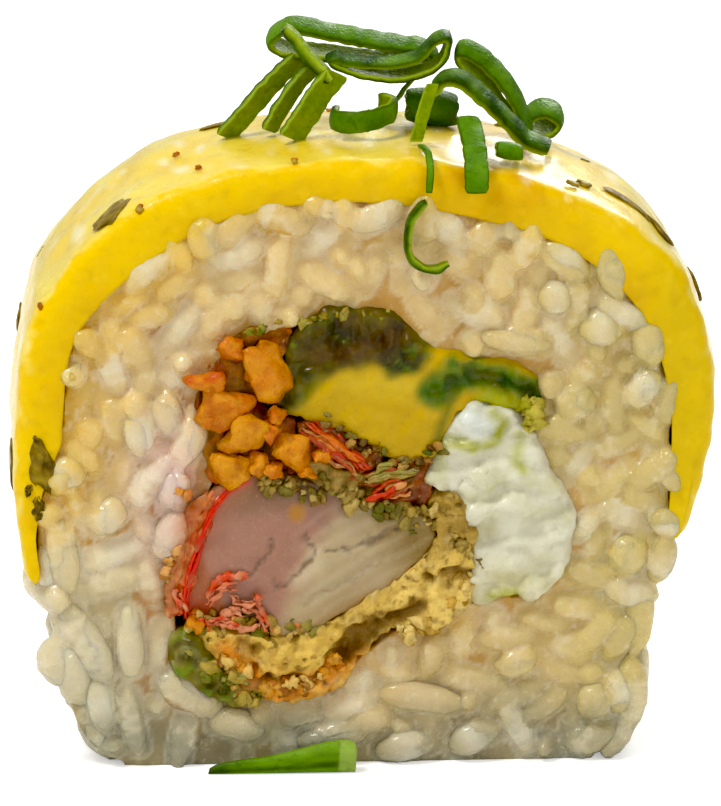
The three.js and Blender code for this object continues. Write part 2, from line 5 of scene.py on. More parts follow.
import bmesh
import bpy
import numpy as np
from bpy.props import FloatProperty, FloatVectorProperty, IntProperty, PointerProperty
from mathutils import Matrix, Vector, kdtree, noise


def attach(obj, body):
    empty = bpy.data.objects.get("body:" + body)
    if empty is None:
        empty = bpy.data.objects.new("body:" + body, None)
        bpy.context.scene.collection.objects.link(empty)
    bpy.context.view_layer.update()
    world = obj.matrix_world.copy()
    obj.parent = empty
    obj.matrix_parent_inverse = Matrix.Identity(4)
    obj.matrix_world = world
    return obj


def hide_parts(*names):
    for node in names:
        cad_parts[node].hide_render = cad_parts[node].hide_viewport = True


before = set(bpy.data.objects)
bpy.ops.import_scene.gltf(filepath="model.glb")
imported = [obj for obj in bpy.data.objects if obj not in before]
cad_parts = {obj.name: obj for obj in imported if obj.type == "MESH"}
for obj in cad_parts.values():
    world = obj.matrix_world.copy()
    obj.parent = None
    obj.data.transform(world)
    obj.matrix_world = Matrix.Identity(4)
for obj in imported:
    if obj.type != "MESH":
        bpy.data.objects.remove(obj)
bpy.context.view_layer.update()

bl_info = {
    "name": "Uramaki Roll Slice",
    "version": (1, 0, 0),
    "blender": (4, 5, 0),
    "location": "3D View > Sidebar > Uramaki",
    "description": "Dresses a slice of uramaki: grains of rice, melted cheese, fillings and spring onion",
    "category": "Add Mesh",
}

MM = 0.001

# Outlines and paths are in millimetres: x to the right, z up, and y away from whoever looks at the cut face
SLICE_LENGTH = 24  # from cut face to cut face
HALF = SLICE_LENGTH / 2
SWELL = 0.022  # how much fatter the slice is half way along than at its cut faces
# The cheese's outer side on the cut face, from its low left end to its low right end
CHEESE_ARCH = [
    (-25.9, 13.6), (-26.8, 19), (-26.8, 28), (-25.4, 36), (-21.4, 41.6), (-15, 46), (-7.5, 47.9), (0, 48.1),
    (7.5, 47.7), (15.4, 45.9), (21.6, 42.3), (25.8, 36.6), (27.2, 30), (26.6, 23), (24.4, 15.6),
]
# The sheet's thickness along that arch, as share of the arch and millimetres
CHEESE_THICKNESS = [
    (0, 0.9), (0.05, 1.15), (0.085, 1.9), (0.125, 3.4), (0.2, 3.3), (0.32, 3.9), (0.42, 3.1), (0.5, 2.7),
    (0.6, 3.6), (0.72, 4.1), (0.82, 3.8), (0.92, 2.7), (1, 0.9),
]
# The rice below the cheese, from the right flank round the base to the left flank
RICE_FOOT = [
    (22.7, 13.5), (22.3, 8), (22.2, 3.4), (20.6, 0.5), (18.4, 0), (-18.6, 0), (-21.2, 1.1), (-23.1, 4.2),
    (-24.2, 8.5), (-24.3, 12.2),
]
# The space for the fillings on the cut face
FILLING_SPACE = [
    (-12.6, 29.6), (-11.4, 32.9), (-8.6, 35.1), (-5.9, 35.1), (-3.2, 36.7), (2.6, 36.6), (4.6, 33.8),
    (9, 32.8), (13.2, 31.8), (14, 29), (13.4, 26.2), (16.1, 21.8), (16.3, 17), (14.2, 13.4), (9.8, 12.9),
    (7.4, 11.8), (4.6, 10.5), (1.2, 9.8), (-1.2, 6.8), (-4.5, 5.4), (-9, 5.2), (-13.2, 6.6), (-15.2, 10.2),
    (-14.8, 14.8), (-13.4, 19), (-12.2, 23),
]
# Grains that lie apart and show most: x, z, length, width, slope in degrees
SHOWN_GRAINS = [
    (-23.3, 17.4, 6.6, 2.6, 98), (-23.6, 8.6, 4.2, 3.4, 80), (-21.6, 10.2, 7.4, 2.7, 118),
    (-18.2, 10.2, 6, 2.4, 92), (-20.4, 5.2, 4.9, 2.9, 100), (-19.9, 20.4, 3.4, 2.8, 35),
    (-17.3, 26.9, 3.8, 2.4, 95), (-13.5, 5.9, 5.8, 2.9, 150), (-9.9, 3.2, 4.6, 2.6, 165),
    (14.7, 37.3, 3, 3, 0), (18.2, 34.9, 3.5, 3.4, 0), (15.3, 40.2, 4.7, 2.6, 145),
    (19.1, 39.3, 4.7, 2.5, 105), (22, 33.6, 3.8, 2.8, 100), (11.7, 33.9, 5.8, 2.4, 172),
    (16.3, 28.9, 3.5, 2.9, 20), (21.6, 30.3, 3.6, 2.3, 50), (18.3, 4.8, 3.4, 2.8, 30),
    (20.2, 5.6, 3.8, 3, 80), (8.6, 1.9, 4.2, 2.6, 25), (11.9, 8.1, 3.4, 2.3, 15),
    (20.6, 16.6, 3.6, 3.4, 40), (4.6, 5.2, 7, 2.4, 170), (-2.6, 2.2, 5.4, 2.3, 8),
    (-15.1, 28.3, 3.4, 2.6, 100), (-13.6, 26.2, 4.6, 2.7, 68), (-14.7, 22.4, 3.4, 2.9, 80),
    (-14.8, 18.9, 4.4, 2.7, 62),
]


# Colours

def paint(red, green, blue):
    """A linear colour from the values from 0 to 255 that a paint program shows"""
    shown = [value / 255 for value in (red, green, blue)]
    return tuple(v / 12.92 if v < 0.0408 else ((v + 0.055) / 1.055) ** 2.4 for v in shown)


def colour_property(name, description, red, green, blue):
    return FloatVectorProperty(
        name=name, description=description, subtype="COLOR", size=3, min=0, max=1,
        default=paint(red, green, blue))


def clamp(values):
    return np.clip(values, 0, 1)


def blended(base, *layers):
    """A colour per point: a base colour per point with layers of (colour, share) over it"""
    colour = np.array(base, float)
    for other, share in layers:
        share = clamp(np.broadcast_to(share, len(colour)))[:, None]
        colour = colour * (1 - share) + np.array(other) * share
    return colour


def painted(points, base, *layers):
    """A colour per point: one base colour with layers of (colour, share) over it"""
    return blended(np.tile(base, (len(points), 1)), *layers)


# Curves and outlines

def smooth_path(points, count, closed=False):
    """Evenly spaced points on a smooth curve through the given ones"""
    p = np.array(points, float)
    if closed:
        p = np.vstack([p[-1:], p, p[:2]])
    else:
        p = np.vstack([2 * p[0] - p[1], p, 2 * p[-1] - p[-2]])
    dense = []
    for p0, p1, p2, p3 in zip(p, p[1:], p[2:], p[3:]):
        gaps = [max(1e-6, np.linalg.norm(b - a) ** 0.5) for a, b in ((p0, p1), (p1, p2), (p2, p3))]
        start = ((p1 - p0) / gaps[0] - (p2 - p0) / (gaps[0] + gaps[1]) + (p2 - p1) / gaps[1]) * gaps[1]
        end = ((p2 - p1) / gaps[1] - (p3 - p1) / (gaps[1] + gaps[2]) + (p3 - p2) / gaps[2]) * gaps[1]
        for t in np.linspace(0, 1, 24, endpoint=False):
            a, b = 2 * t**3 - 3 * t**2 + 1, t**3 - 2 * t**2 + t
            c, d = -2 * t**3 + 3 * t**2, t**3 - t**2
            dense.append(a * p1 + b * start + c * p2 + d * end)
    dense.append(p[-2])
    dense = np.array(dense)
    run = np.concatenate([[0], np.cumsum(np.linalg.norm(np.diff(dense, axis=0), axis=1))])
    at = np.linspace(0, run[-1], count + 1 if closed else count)
    even = np.stack([np.interp(at, run, dense[:, k]) for k in range(dense.shape[1])], axis=1)
    return even[:-1] if closed else even


def along(path, closed=False):
    """Unit directions of travel along a path"""
    if closed:
        step = np.roll(path, -1, axis=0) - np.roll(path, 1, axis=0)
    else:
        step = np.gradient(path, axis=0)
    return step / np.linalg.norm(step, axis=1, keepdims=True)


def depth_inside(points, outline):
    """How deep each (x, z) lies inside a closed outline; negative outside it"""
    start, step = outline, np.roll(outline, -1, axis=0) - outline
    away = points[:, None, :] - start[None]
    share = clamp((away * step).sum(2) / (step * step).sum(1))
    nearest = np.linalg.norm(away - share[..., None] * step, axis=2).min(1)
    x, z = points[:, :1], points[:, 1:]
    end = start + step
    rise = np.where(step[:, 1] == 0, 1e-9, step[:, 1])
    crossed = (start[:, 1] > z) != (end[:, 1] > z)
    crossed &= x < step[:, 0] * (z - start[:, 1]) / rise + start[:, 0]
    return np.where(crossed.sum(1) % 2 == 1, nearest, -nearest)


ARCH_STEPS = 400
ARCH = smooth_path(CHEESE_ARCH, ARCH_STEPS + 1)
ARCH_INWARDS = np.stack([along(ARCH)[:, 1], -along(ARCH)[:, 0]], axis=1)


def thickness_at(share):
    return np.interp(share, *zip(*CHEESE_THICKNESS))


def on_arch(share, values):
    """What pairs of values along the cheese's arch come to at shares of it"""
    place = np.asarray(share) * ARCH_STEPS
    return np.stack([np.interp(place, np.arange(ARCH_STEPS + 1), column) for column in values.T], axis=-1)


def under_arch(share, depth):
    """Points at shares of the cheese's arch, moved inwards by a depth"""
    return on_arch(share, ARCH) + on_arch(share, ARCH_INWARDS) * np.asarray(depth)[..., None]


RICE_SHARES = np.linspace(0.02, 0.98, 60)
RICE_EDGE = np.vstack([under_arch(RICE_SHARES, thickness_at(RICE_SHARES)), RICE_FOOT])
FILLING_EDGE = smooth_path(FILLING_SPACE, 80, closed=True)


def swell(points):
    """The slice bulges a little between its cut faces, and stays flat on its base"""
    points = np.array(points, float)
    scale = 1 + SWELL * (1 - clamp(np.abs(points[:, 1]) / HALF) ** 2)
    points[:, 0] *= scale
    points[:, 2] *= scale
    return points


def turns_left(loop):
    """True for a closed loop of (x, z) that turns to the left on the whole"""
    ahead = np.roll(loop, -1, axis=0)
    return (ahead[:, 0] * loop[:, 1] - loop[:, 0] * ahead[:, 1]).sum() < 0


def ripple(points, size, seed=0):
    """Smooth noise from about -1 to 1 at each point, whose lumps measure about the given size"""
    shift = Vector((seed * 17.3, seed * 5.1, seed * 9.7))
    return np.array([noise.noise(Vector(p) / size + shift) for p in points]) * 1.6


# Meshes

def add_piece(name, points, faces, colour, slot, material, node=None):
    """Makes a piece of the slice from points in millimetres, in the place of a node if one is named"""
    mesh = bpy.data.meshes.new(name)
    mesh.from_pydata((np.asarray(points) * MM).tolist(), [], [tuple(int(i) for i in f) for f in faces])
    obj = bpy.data.objects.new(name, mesh)
    bpy.context.scene.collection.objects.link(obj)
    return finish_piece(obj, colour, material, node)


def finish_piece(obj, colour, material, node=None):
    obj.data.shade_smooth()
    if colour is not None:
        paint_points(obj, colour)
    if material:
        obj.data.materials.append(material)
    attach(obj, "root")
    if node:
        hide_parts(node)
    return obj


def paint_points(obj, colour):
    """Gives a piece its colour attribute, which its material reads"""
    rgba = np.ones((len(obj.data.vertices), 4), np.float32)
    rgba[:, :3] = clamp(colour)
    layer = obj.data.attributes.new("colour", "FLOAT_COLOR", "POINT")
    layer.data.foreach_set("color", rgba.ravel())


def points_of(obj):
    flat = np.empty(len(obj.data.vertices) * 3, np.float32)
    obj.data.vertices.foreach_get("co", flat)
    return flat.reshape(-1, 3).astype(float) / MM


def normals_of(obj):
    flat = np.empty(len(obj.data.vertices) * 3, np.float32)
    obj.data.vertex_normals.foreach_get("vector", flat)
    return flat.reshape(-1, 3).astype(float)


def move_points(obj, points):
    obj.data.vertices.foreach_set("co", (np.asarray(points) * MM).astype(np.float32).ravel())
    obj.data.update()


def remeshed(obj, voxel):
    """Turns an object's mesh into one even skin, with its creases softened"""
    fuse = obj.modifiers.new("fuse", "REMESH")
    fuse.mode = "VOXEL"
    fuse.voxel_size = voxel * MM
    soften = obj.modifiers.new("soften", "SMOOTH")
    soften.factor = 0.5
    soften.iterations = 1
    ready = obj.evaluated_get(bpy.context.evaluated_depsgraph_get())
    mesh = bpy.data.meshes.new_from_object(ready)
    old = obj.data
    obj.modifiers.clear()
    obj.data = mesh
    bpy.data.meshes.remove(old)
    return obj


def from_solid(node, voxel):
    """A fine, even copy of one of the frame's solids"""
    obj = bpy.data.objects.new(node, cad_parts[node].data.copy())
    bpy.context.scene.collection.objects.link(obj)
    obj.data.materials.clear()
    return remeshed(obj, voxel)


def rings_to_faces(rings, count, closed=False):
    faces = []
    for r in range(rings if closed else rings - 1):
        here, there = r * count, (r + 1) % rings * count
        for i in range(count):
            j = (i + 1) % count
            faces.append((here + i, there + i, there + j, here + j))
    return faces


def turned_outwards(points, faces):
    """Faces turned, all at once, so that a closed skin faces out"""
    volume = 0
    for f in faces:
        a, b, c = points[f[0]], points[f[1]], points[f[2]]
        volume += np.dot(a, np.cross(b, c))
        if len(f) == 4:
            volume += np.dot(a, np.cross(c, points[f[3]]))
    return [tuple(reversed(f)) for f in faces] if volume < 0 else faces


class Heap:
    """Collects many small closed shapes into one mesh"""

    def __init__(self):
        self.points, self.faces, self.colours, self.count = [], [], [], 0

    def add(self, points, faces, colour=None):
        self.faces += [tuple(i + self.count for i in f) for f in faces]
        self.points.append(points)
        if colour is not None:
            self.colours.append(colour)
        self.count += len(points)

    def merged(self):
        """Points, faces and colours of the whole heap"""
        return np.vstack(self.points), self.faces, np.vstack(self.colours) if self.colours else None


# Materials

def socket_group(name, inputs, outputs):
    """A node group with named sockets, each as (kind, name, default)"""
    group = bpy.data.node_groups.new(name, "ShaderNodeTree")
    for kind, title, default in inputs:
        made = group.interface.new_socket(title, in_out="INPUT", socket_type="NodeSocket" + kind)
        if default is not None:
            made.default_value = default
    for kind, title in outputs:
        group.interface.new_socket(title, in_out="OUTPUT", socket_type="NodeSocket" + kind)
    return group, group.nodes.new("NodeGroupInput"), group.nodes.new("NodeGroupOutput")


def add_node(tree, kind, settings=None, **values):
    node = tree.nodes.new("ShaderNode" + kind)
    for key, value in (settings or {}).items():
        setattr(node, key, value)
    for key, value in values.items():
        socket = node.inputs[key.replace("_", " ")]
        if isinstance(value, bpy.types.NodeSocket):
            tree.links.new(value, socket)
        else:
            socket.default_value = value
    return node


def moist_skin_group():
    """Uneven wetness: roughness in patches, and a fine bumpy height. Used by everything moist."""
    if "Moist skin" in bpy.data.node_groups:
        return bpy.data.node_groups["Moist skin"]
    group, start, end = socket_group(
        "Moist skin",
        [("Float", "Patch scale", 300.0), ("Float", "Grain scale", 2500.0), ("Float", "Driest", 0.5),
         ("Float", "Wettest", 0.2)],
        [("Float", "Roughness"), ("Float", "Height")])
    place = add_node(group, "TexCoord").outputs["Object"]
    patches = add_node(group, "TexNoise", Vector=place, Scale=start.outputs["Patch scale"], Detail=3.0)
    grain = add_node(group, "TexNoise", Vector=place, Scale=start.outputs["Grain scale"], Detail=4.0)
    spread = add_node(group, "MapRange", Value=patches.outputs["Fac"], To_Min=start.outputs["Wettest"],
                      To_Max=start.outputs["Driest"])
    spread.inputs["From Min"].default_value = 0.35
    spread.inputs["From Max"].default_value = 0.65
    both = add_node(group, "Math", {"operation": "MULTIPLY_ADD"})
    group.links.new(grain.outputs["Fac"], both.inputs[0])
    both.inputs[1].default_value = 0.5
    group.links.new(patches.outputs["Fac"], both.inputs[2])
    group.links.new(spread.outputs["Result"], end.inputs["Roughness"])
    group.links.new(both.outputs[0], end.inputs["Height"])
    return group


def mottle_group():
    """A colour broken up by a second one in soft patches, and by a finer one in small specks"""
    if "Mottle" in bpy.data.node_groups:
        return bpy.data.node_groups["Mottle"]
    group, start, end = socket_group(
        "Mottle",
        [("Color", "Base", (0.5, 0.5, 0.5, 1)), ("Color", "Patch", (0.5, 0.5, 0.5, 1)),
         ("Color", "Speck", (0.5, 0.5, 0.5, 1)), ("Float", "Patch scale", 300.0),
         ("Float", "Patch amount", 0.5),
         ("Float", "Speck scale", 1500.0), ("Float", "Speck amount", 0.2)],
        [("Color", "Colour")])
    place = add_node(group, "TexCoord").outputs["Object"]
    colour = start.outputs["Base"]
    for title, low, high in (("Patch", 0.4, 0.62), ("Speck", 0.58, 0.7)):
        texture = add_node(group, "TexNoise", Vector=place, Scale=start.outputs[f"{title} scale"], Detail=5.0)
        spread = add_node(group, "MapRange", {"clamp": True}, Value=texture.outputs["Fac"],
                          To_Max=start.outputs[f"{title} amount"])
        spread.inputs["From Min"].default_value = low
        spread.inputs["From Max"].default_value = high
        mix = group.nodes.new("ShaderNodeMix")
        mix.data_type = "RGBA"
        group.links.new(spread.outputs["Result"], mix.inputs["Factor"])
        group.links.new(colour, mix.inputs[6])
        group.links.new(start.outputs[title], mix.inputs[7])
        colour = mix.outputs[2]
    group.links.new(colour, end.inputs["Colour"])
    return group


def place_group(tree, group, **values):
    node = tree.nodes.new("ShaderNodeGroup")
    node.node_tree = group
    for key, value in values.items():
        socket = node.inputs[key.replace("_", " ")]
        if isinstance(value, bpy.types.NodeSocket):
            tree.links.new(value, socket)
        elif socket.type == "RGBA":
            socket.default_value = (*value, 1)
        else:
            socket.default_value = value
    return node


def food_material(name, look, specular=0.25):
    """A moist food: its colour attribute mottled, an uneven sheen, a fine bump and some light let through.
    look holds patch and speck (colours), patch_scale, patch_amount, speck_scale, speck_amount, wet and dry
    (roughnesses), skin_scale and bump (metres), and it may hold through (0 to 1), reach (metres for red,
    green and blue) and coat (0 to 1)."""
    material = bpy.data.materials.new(name)
    material.use_nodes = True
    tree = material.node_tree
    shader = tree.nodes["Principled BSDF"]
    colour = add_node(tree, "Attribute", {"attribute_name": "colour"})
    mottled = place_group(
        tree, mottle_group(), Base=colour.outputs["Color"], Patch=look["patch"], Speck=look["speck"],
        Patch_scale=look["patch_scale"], Patch_amount=look["patch_amount"], Speck_scale=look["speck_scale"],
        Speck_amount=look["speck_amount"])
    moist = place_group(
        tree, moist_skin_group(), Patch_scale=look["skin_scale"], Grain_scale=look["skin_scale"] * 6,
        Driest=look["dry"], Wettest=look["wet"])
    bump = add_node(tree, "Bump", Height=moist.outputs["Height"], Distance=look["bump"])
    tree.links.new(mottled.outputs["Colour"], shader.inputs["Base Color"])
    tree.links.new(moist.outputs["Roughness"], shader.inputs["Roughness"])
    tree.links.new(bump.outputs["Normal"], shader.inputs["Normal"])
    shader.inputs["Subsurface Weight"].default_value = look.get("through", 0)
    shader.inputs["Subsurface Radius"].default_value = look.get("reach", (0.001, 0.001, 0.001))
    shader.inputs["Subsurface Scale"].default_value = 1.0
    shader.inputs["Specular IOR Level"].default_value = specular
    shader.inputs["Coat Weight"].default_value = look.get("coat", 0)
    shader.inputs["Coat Roughness"].default_value = 0.12
    return material


# Sizes and colours that a user would change

class UramakiRice(bpy.types.PropertyGroup):
    seed: IntProperty(name="Seed", description="Order in which the grains fall", default=7, min=0)
    grain_length: FloatProperty(
        name="Grain length", description="Length of a cooked grain", default=0.0066, min=0.004, max=0.009,
        unit="LENGTH")
    grain_width: FloatProperty(
        name="Grain width", description="Width of a cooked grain", default=0.0029, min=0.002, max=0.004,
        unit="LENGTH")
    warm: colour_property("Upper rice", "Cream-beige of the rice near the cheese", 228, 198, 134)
    white: colour_property("Lower left rice", "Whiter rice at the lower left", 216, 204, 168)
    grey: colour_property("Foot of the rice", "Greyer, clearer rice at the base", 160, 156, 128)
    yellow: colour_property("Right rice", "Yellowish rice on the right", 208, 186, 112)
    # The amber between the grains, which is also the colour of the painted shade in the creases and deep
    # behind the cut face
    gap: colour_property("Gaps", "Amber between the grains", 196, 138, 16)


class UramakiCheese(bpy.types.PropertyGroup):
    cut: colour_property("Cut edge", "Saturated yellow of the cut edge", 244, 202, 0)
    # The skin's paler yellow is partly the melted skin's own colour and partly a painted sheen
    skin: colour_property("Outer skin", "Paler yellow of the melted skin", 255, 234, 100)
    flake: colour_property("Flakes", "Olive brown of the flakes", 140, 112, 10)
    ripple: FloatProperty(
        name="Ripple", description="Height of the melted skin's unevenness", default=0.00028, min=0,
        max=0.001, unit="LENGTH")


class UramakiFillings(bpy.types.PropertyGroup):
    prawn: colour_property("Prawn flesh", "Pinkish white of the flesh", 172, 124, 102)
    prawn_rim: colour_property("Prawn rim", "Red of the prawn's skin", 214, 34, 2)
    avocado: colour_property("Avocado flesh", "Yellow of the flesh", 202, 164, 0)
    avocado_green: colour_property("Avocado rind side", "Green next to the rind", 62, 76, 2)
    batter: colour_property("Batter", "Golden batter", 238, 198, 88)
    batter_brown: colour_property("Browned batter", "Orange brown of the batter's crust", 224, 130, 0)
    cream: colour_property("Cream cheese", "White of the cream cheese", 222, 218, 188)
    crumb: colour_property("Crumbs", "Orange of the fried crumbs", 212, 112, 2)
    surimi: colour_property("Surimi", "Red orange of the shreds", 224, 70, 8)


class UramakiOnion(bpy.types.PropertyGroup):
    dark: colour_property("Dark leaf", "Dark green outer skin", 32, 72, 2)
    mid: colour_property("Leaf", "Green outer skin", 76, 122, 4)
    pale: colour_property("Pale leaf", "Bluish pale green skin", 88, 138, 14)
    inside: colour_property("Inside", "Yellowish green inner side", 146, 166, 10)
    edge_round: FloatProperty(
        name="Edge rounding", description="Rounding of the cut edges", default=0.00021, min=0, max=0.0004,
        unit="LENGTH")


class UramakiStage(bpy.types.PropertyGroup):
    floor: colour_property("Floor", "Pale floor", 250, 250, 250)
    camera_distance: FloatProperty(
        name="Camera distance", description="From the camera to the middle of the cut face", default=0.32,
        min=0.1, max=2, unit="LENGTH")
    camera_height: FloatProperty(
        name="Camera elevation", description="Angle at which the camera looks down", default=math.radians(14),
        min=0, max=1.5, subtype="ANGLE")


# Rice

# A grain as it lies, with the y past which the knife flattened it and how much lighter than others it is
Grain = namedtuple("Grain", "middle direction length width top tone")
UNCUT = 99
FREE_LIFT = 0.26  # grains that stand out of the cut face by more than this are also shapes of their own


def grain_form(rng, length, width, sides=10, rings=8, rough=0.0):
    """One cooked grain about the origin, its long axis along x: plump, a little bent, notched at one end"""
    points = [(-0.5, 0, 0)]
    bend, plump = rng.uniform(-0.1, 0.1), rng.uniform(2.1, 2.9)
    lopsided, squash = rng.uniform(-0.14, 0.14), rng.uniform(0.8, 1.0)
    for r in range(1, rings):
        u = -math.cos(math.pi * r / rings)
        radius = 0.5 * (1 - abs(u) ** plump) ** 0.5 * (1 + lopsided * u)
        if u < -0.6:
            radius *= 0.92
        for s in range(sides):
            a = 2 * math.pi * s / sides
            points.append((u / 2, radius * math.cos(a) * width / length + bend * (1 - u * u) * 0.5,
                           radius * math.sin(a) * squash * width / length))
    points.append((0.5, 0, 0))
    points = np.array(points) * length
    if rough:
        points = points * (1 + rough * ripple(points + rng.uniform(0, 90), 1.6))[:, None]
    last = len(points) - 1
    faces = [(0, 1 + (s + 1) % sides, 1 + s) for s in range(sides)]
    for r in range(rings - 2):
        for s in range(sides):
            a, b = 1 + r * sides + s, 1 + r * sides + (s + 1) % sides
            faces.append((a, b, b + sides, a + sides))
    faces += [(last, last - sides + s, last - sides + (s + 1) % sides) for s in range(sides)]
    return points, faces


def facing(direction, roll):
    """A rotation matrix whose first column is a direction"""
    first = np.array(direction, float) / np.linalg.norm(direction)
    spare = np.array((0, 0, 1.0)) if abs(first[2]) < 0.9 else np.array((0, 1.0, 0))
    second = np.cross(spare, first)
    second /= np.linalg.norm(second)
    third = np.cross(first, second)
    turned = np.cos(roll) * second + np.sin(roll) * third
    return np.stack([first, turned, np.cross(first, turned)], axis=1)


def grain_in_place(grain, rng, sides, rings, rough):
    """A grain where it lies: points, faces, how far each point was cut, and its share of the way to an end"""
    form, faces = grain_form(rng, grain.length, grain.width, sides, rings, rough)
    turn = facing(grain.direction, rng.uniform(0, 6.28))
    placed = form @ turn.T + np.array(grain.middle)
    past = np.abs(placed[:, 1]) - grain.top
    placed[:, 1] -= np.sign(placed[:, 1]) * np.maximum(0, past) * 0.6
    placed = swell(placed)
    placed[:, 2] = np.maximum(placed[:, 2], 0.02)
    return placed, faces, clamp(past / 0.25), np.abs(form[:, 0]) / (grain.length / 2)


class Bed:
    """Keeps track of the grains laid side by side on a surface, so that none lies too deep in another"""

    def __init__(self):
        self.spots = np.empty((0, 3))

    def takes(self, spots, closeness):
        """Lays a grain, given as spots (u, v, radius) along it, if it keeps its distance from the others"""
        if len(self.spots):
            away = np.linalg.norm(self.spots[:, None, :2] - spots[None, :, :2], axis=2)
            if (away < closeness * (self.spots[:, None, 2] + spots[None, :, 2])).any():
                return False
        self.spots = np.vstack([self.spots, spots])
        return True


def grain_spots(u, v, slope, shown, width):
    """Spots (u, v, radius) along a grain whose shown length lies at a slope"""
    reach = max(0, shown - width) / 2
    return np.array([(u + k * reach * math.cos(slope), v + k * reach * math.sin(slope), width / 2)
                     for k in (-1, -0.5, 0, 0.5, 1)])


def on_rice(spots, over_cheese, over_filling):
    """True where a grain on a cut face stays on the rice, give or take what it may overlap"""
    return (depth_inside(spots[:, :2], RICE_EDGE).min() > spots[0, 2] - over_cheese
            and -depth_inside(spots[:, :2], FILLING_EDGE).max() > spots[0, 2] - over_filling)


def lay_on_face(side, rng, bed, kind, tries, length, width):
    """Seeded grains on one cut face. They lie looser and longer at the lower left and at the foot."""
    laid = []
    for _ in range(tries):
        x, z = rng.uniform(-25, 25), rng.uniform(0.8, 46)
        slope = rng.uniform(0, math.pi)
        lean = rng.gauss(0, 0.16) if kind != "end on" else rng.uniform(0.8, 1.4)
        lower_left, foot = clamp((-x - 6) / 10) * clamp((24 - z) / 8), clamp((12 - z) / 12)
        loose = min(1, lower_left + foot * 0.6)
        long = length * rng.uniform(0.56, 0.8) * (1 + 0.4 * loose)
        wide = width * rng.uniform(0.74, 1.02)
        if kind == "small":
            long, wide = max(wide, long * 0.66), wide * 0.9
        spots = grain_spots(x, z, slope, max(wide, long * math.cos(lean)), wide)
        closeness = 0.5 if kind == "deep" else 0.6 + 0.12 * loose
        inside_cheese = kind == "deep" or z < 13 or (x < -17 and z > 19)
        if not on_rice(spots, 0.3 if inside_cheese else 1.25, 0.6) or not bed.takes(spots, closeness):
            continue
        at_edge = depth_inside(spots[:, :2], RICE_EDGE).min() < wide / 2
        lift = rng.uniform(-0.45, 0.24 + 0.3 * loose)
        if kind == "deep":
            lift = rng.uniform(-1.1, -0.7)
        elif at_edge:
            lift = rng.uniform(FREE_LIFT, 0.5)
        sunk = (long - wide) / 2 * abs(math.sin(lean)) + wide / 2 - lift
        direction = (math.cos(slope) * math.cos(lean), math.sin(lean), math.sin(slope) * math.cos(lean))
        top = HALF + lift - rng.uniform(0.05, 0.4)
        laid.append(Grain((x, side * (HALF - sunk), z), direction, long, wide, top, rng.gauss(0, 0.06)))
    return laid


def flank_x(side, z):
    """Where the rice's flank lies at a height, under the cheese too"""
    heights, reach = zip(*sorted((p[1], side * p[0]) for p in RICE_EDGE if side * p[0] > 12 and p[1] < 24))
    return side * np.interp(z, heights, reach)


def lay_on_flank(side, rng, length, width):
    """Seeded grains on one flank: whole ones first, then short ones in the gaps"""
    laid, bed = [], Bed()
    whole_tries, tries, reach = 3000, 7000, 11
    for attempt in range(tries):
        y, z = rng.uniform(-reach, reach), rng.uniform(0.9, 17.5)
        long, wide = length * rng.uniform(0.7, 1.05), width * rng.uniform(0.85, 1.05)
        if attempt > whole_tries:
            long *= 0.6
        turn = rng.uniform(0, math.pi)
        spots = grain_spots(y, z, turn, long, wide)
        past_ends = np.abs(spots[:, 0]).max() > reach + 0.3
        if spots[:, 1].min() < wide * 0.35 or past_ends or not bed.takes(spots, 0.58):
            continue
        x = flank_x(side, z) - side * wide * (rng.uniform(0.38, 0.56) + 0.06 * (z > 12.5))
        rise = (flank_x(side, z + 1) - flank_x(side, z - 1)) / 2 * math.sin(turn)
        direction = (rise, math.cos(turn), math.sin(turn))
        laid.append(Grain((x, y, z), direction, long, wide, UNCUT, rng.gauss(0, 0.05)))
    return laid


def from_cheese(points):
    """How far each point of the rice lies from the rice's outline, in parts to spare memory"""
    parts = np.array_split(points[:, (0, 2)], len(points) // 4000 + 1)
    return np.concatenate([depth_inside(part, RICE_EDGE) for part in parts])


def rice_tint(points, look):
    """The rice's colour from place to place: warm above, white at the lower left, grey at the foot"""
    x, z = points[:, 0], points[:, 2]
    drift = 0.3 * ripple(points, 7, 3)
    rosy = 1 - np.hypot((x + 15) / 4.5, (z - 22) / 9)
    beside_prawn = 1.5 - np.hypot((x + 13.3) / 1.15, (z - 18.5) / 4.2)
    depth = from_cheese(points)
    cheesy = np.where(x < -12, 1.0 - depth / 6, 0.6 - depth / 3.5) * clamp((z - 12) / 4)
    return painted(
        points, look.warm,
        (paint(238, 192, 56), cheesy),
        (look.yellow, (x - 6) / 12 + drift),
        (look.white, np.minimum((-x - 9) / 8, (22 - z) / 10) + drift),
        (look.grey, (8 - z) / 7 + drift),
        (paint(232, 198, 182), 1.4 * rosy),
        (paint(204, 100, 30), beside_prawn))


def gap_and_shade_tint(points, look):
    """The clear rice between the grains, also laid on as painted shade: golden beside the cheese, brown near
    the prawn, grey at the foot
    """
    x, z = points[:, 0], points[:, 2]
    return painted(
        points, look.gap,
        (paint(178, 112, 36), 1.3 - np.abs(x + 15) / 4 + 0.2 * ripple(points, 3, 2)),
        (paint(214, 168, 0), (1.3 - from_cheese(points) / 3.5) * (z > 17)),
        (paint(186, 166, 120), (np.abs(x) > 18) * (z < 17)),
        (paint(140, 126, 86), (9 - z) / 6 + 0.2 * ripple(points, 3, 4)))


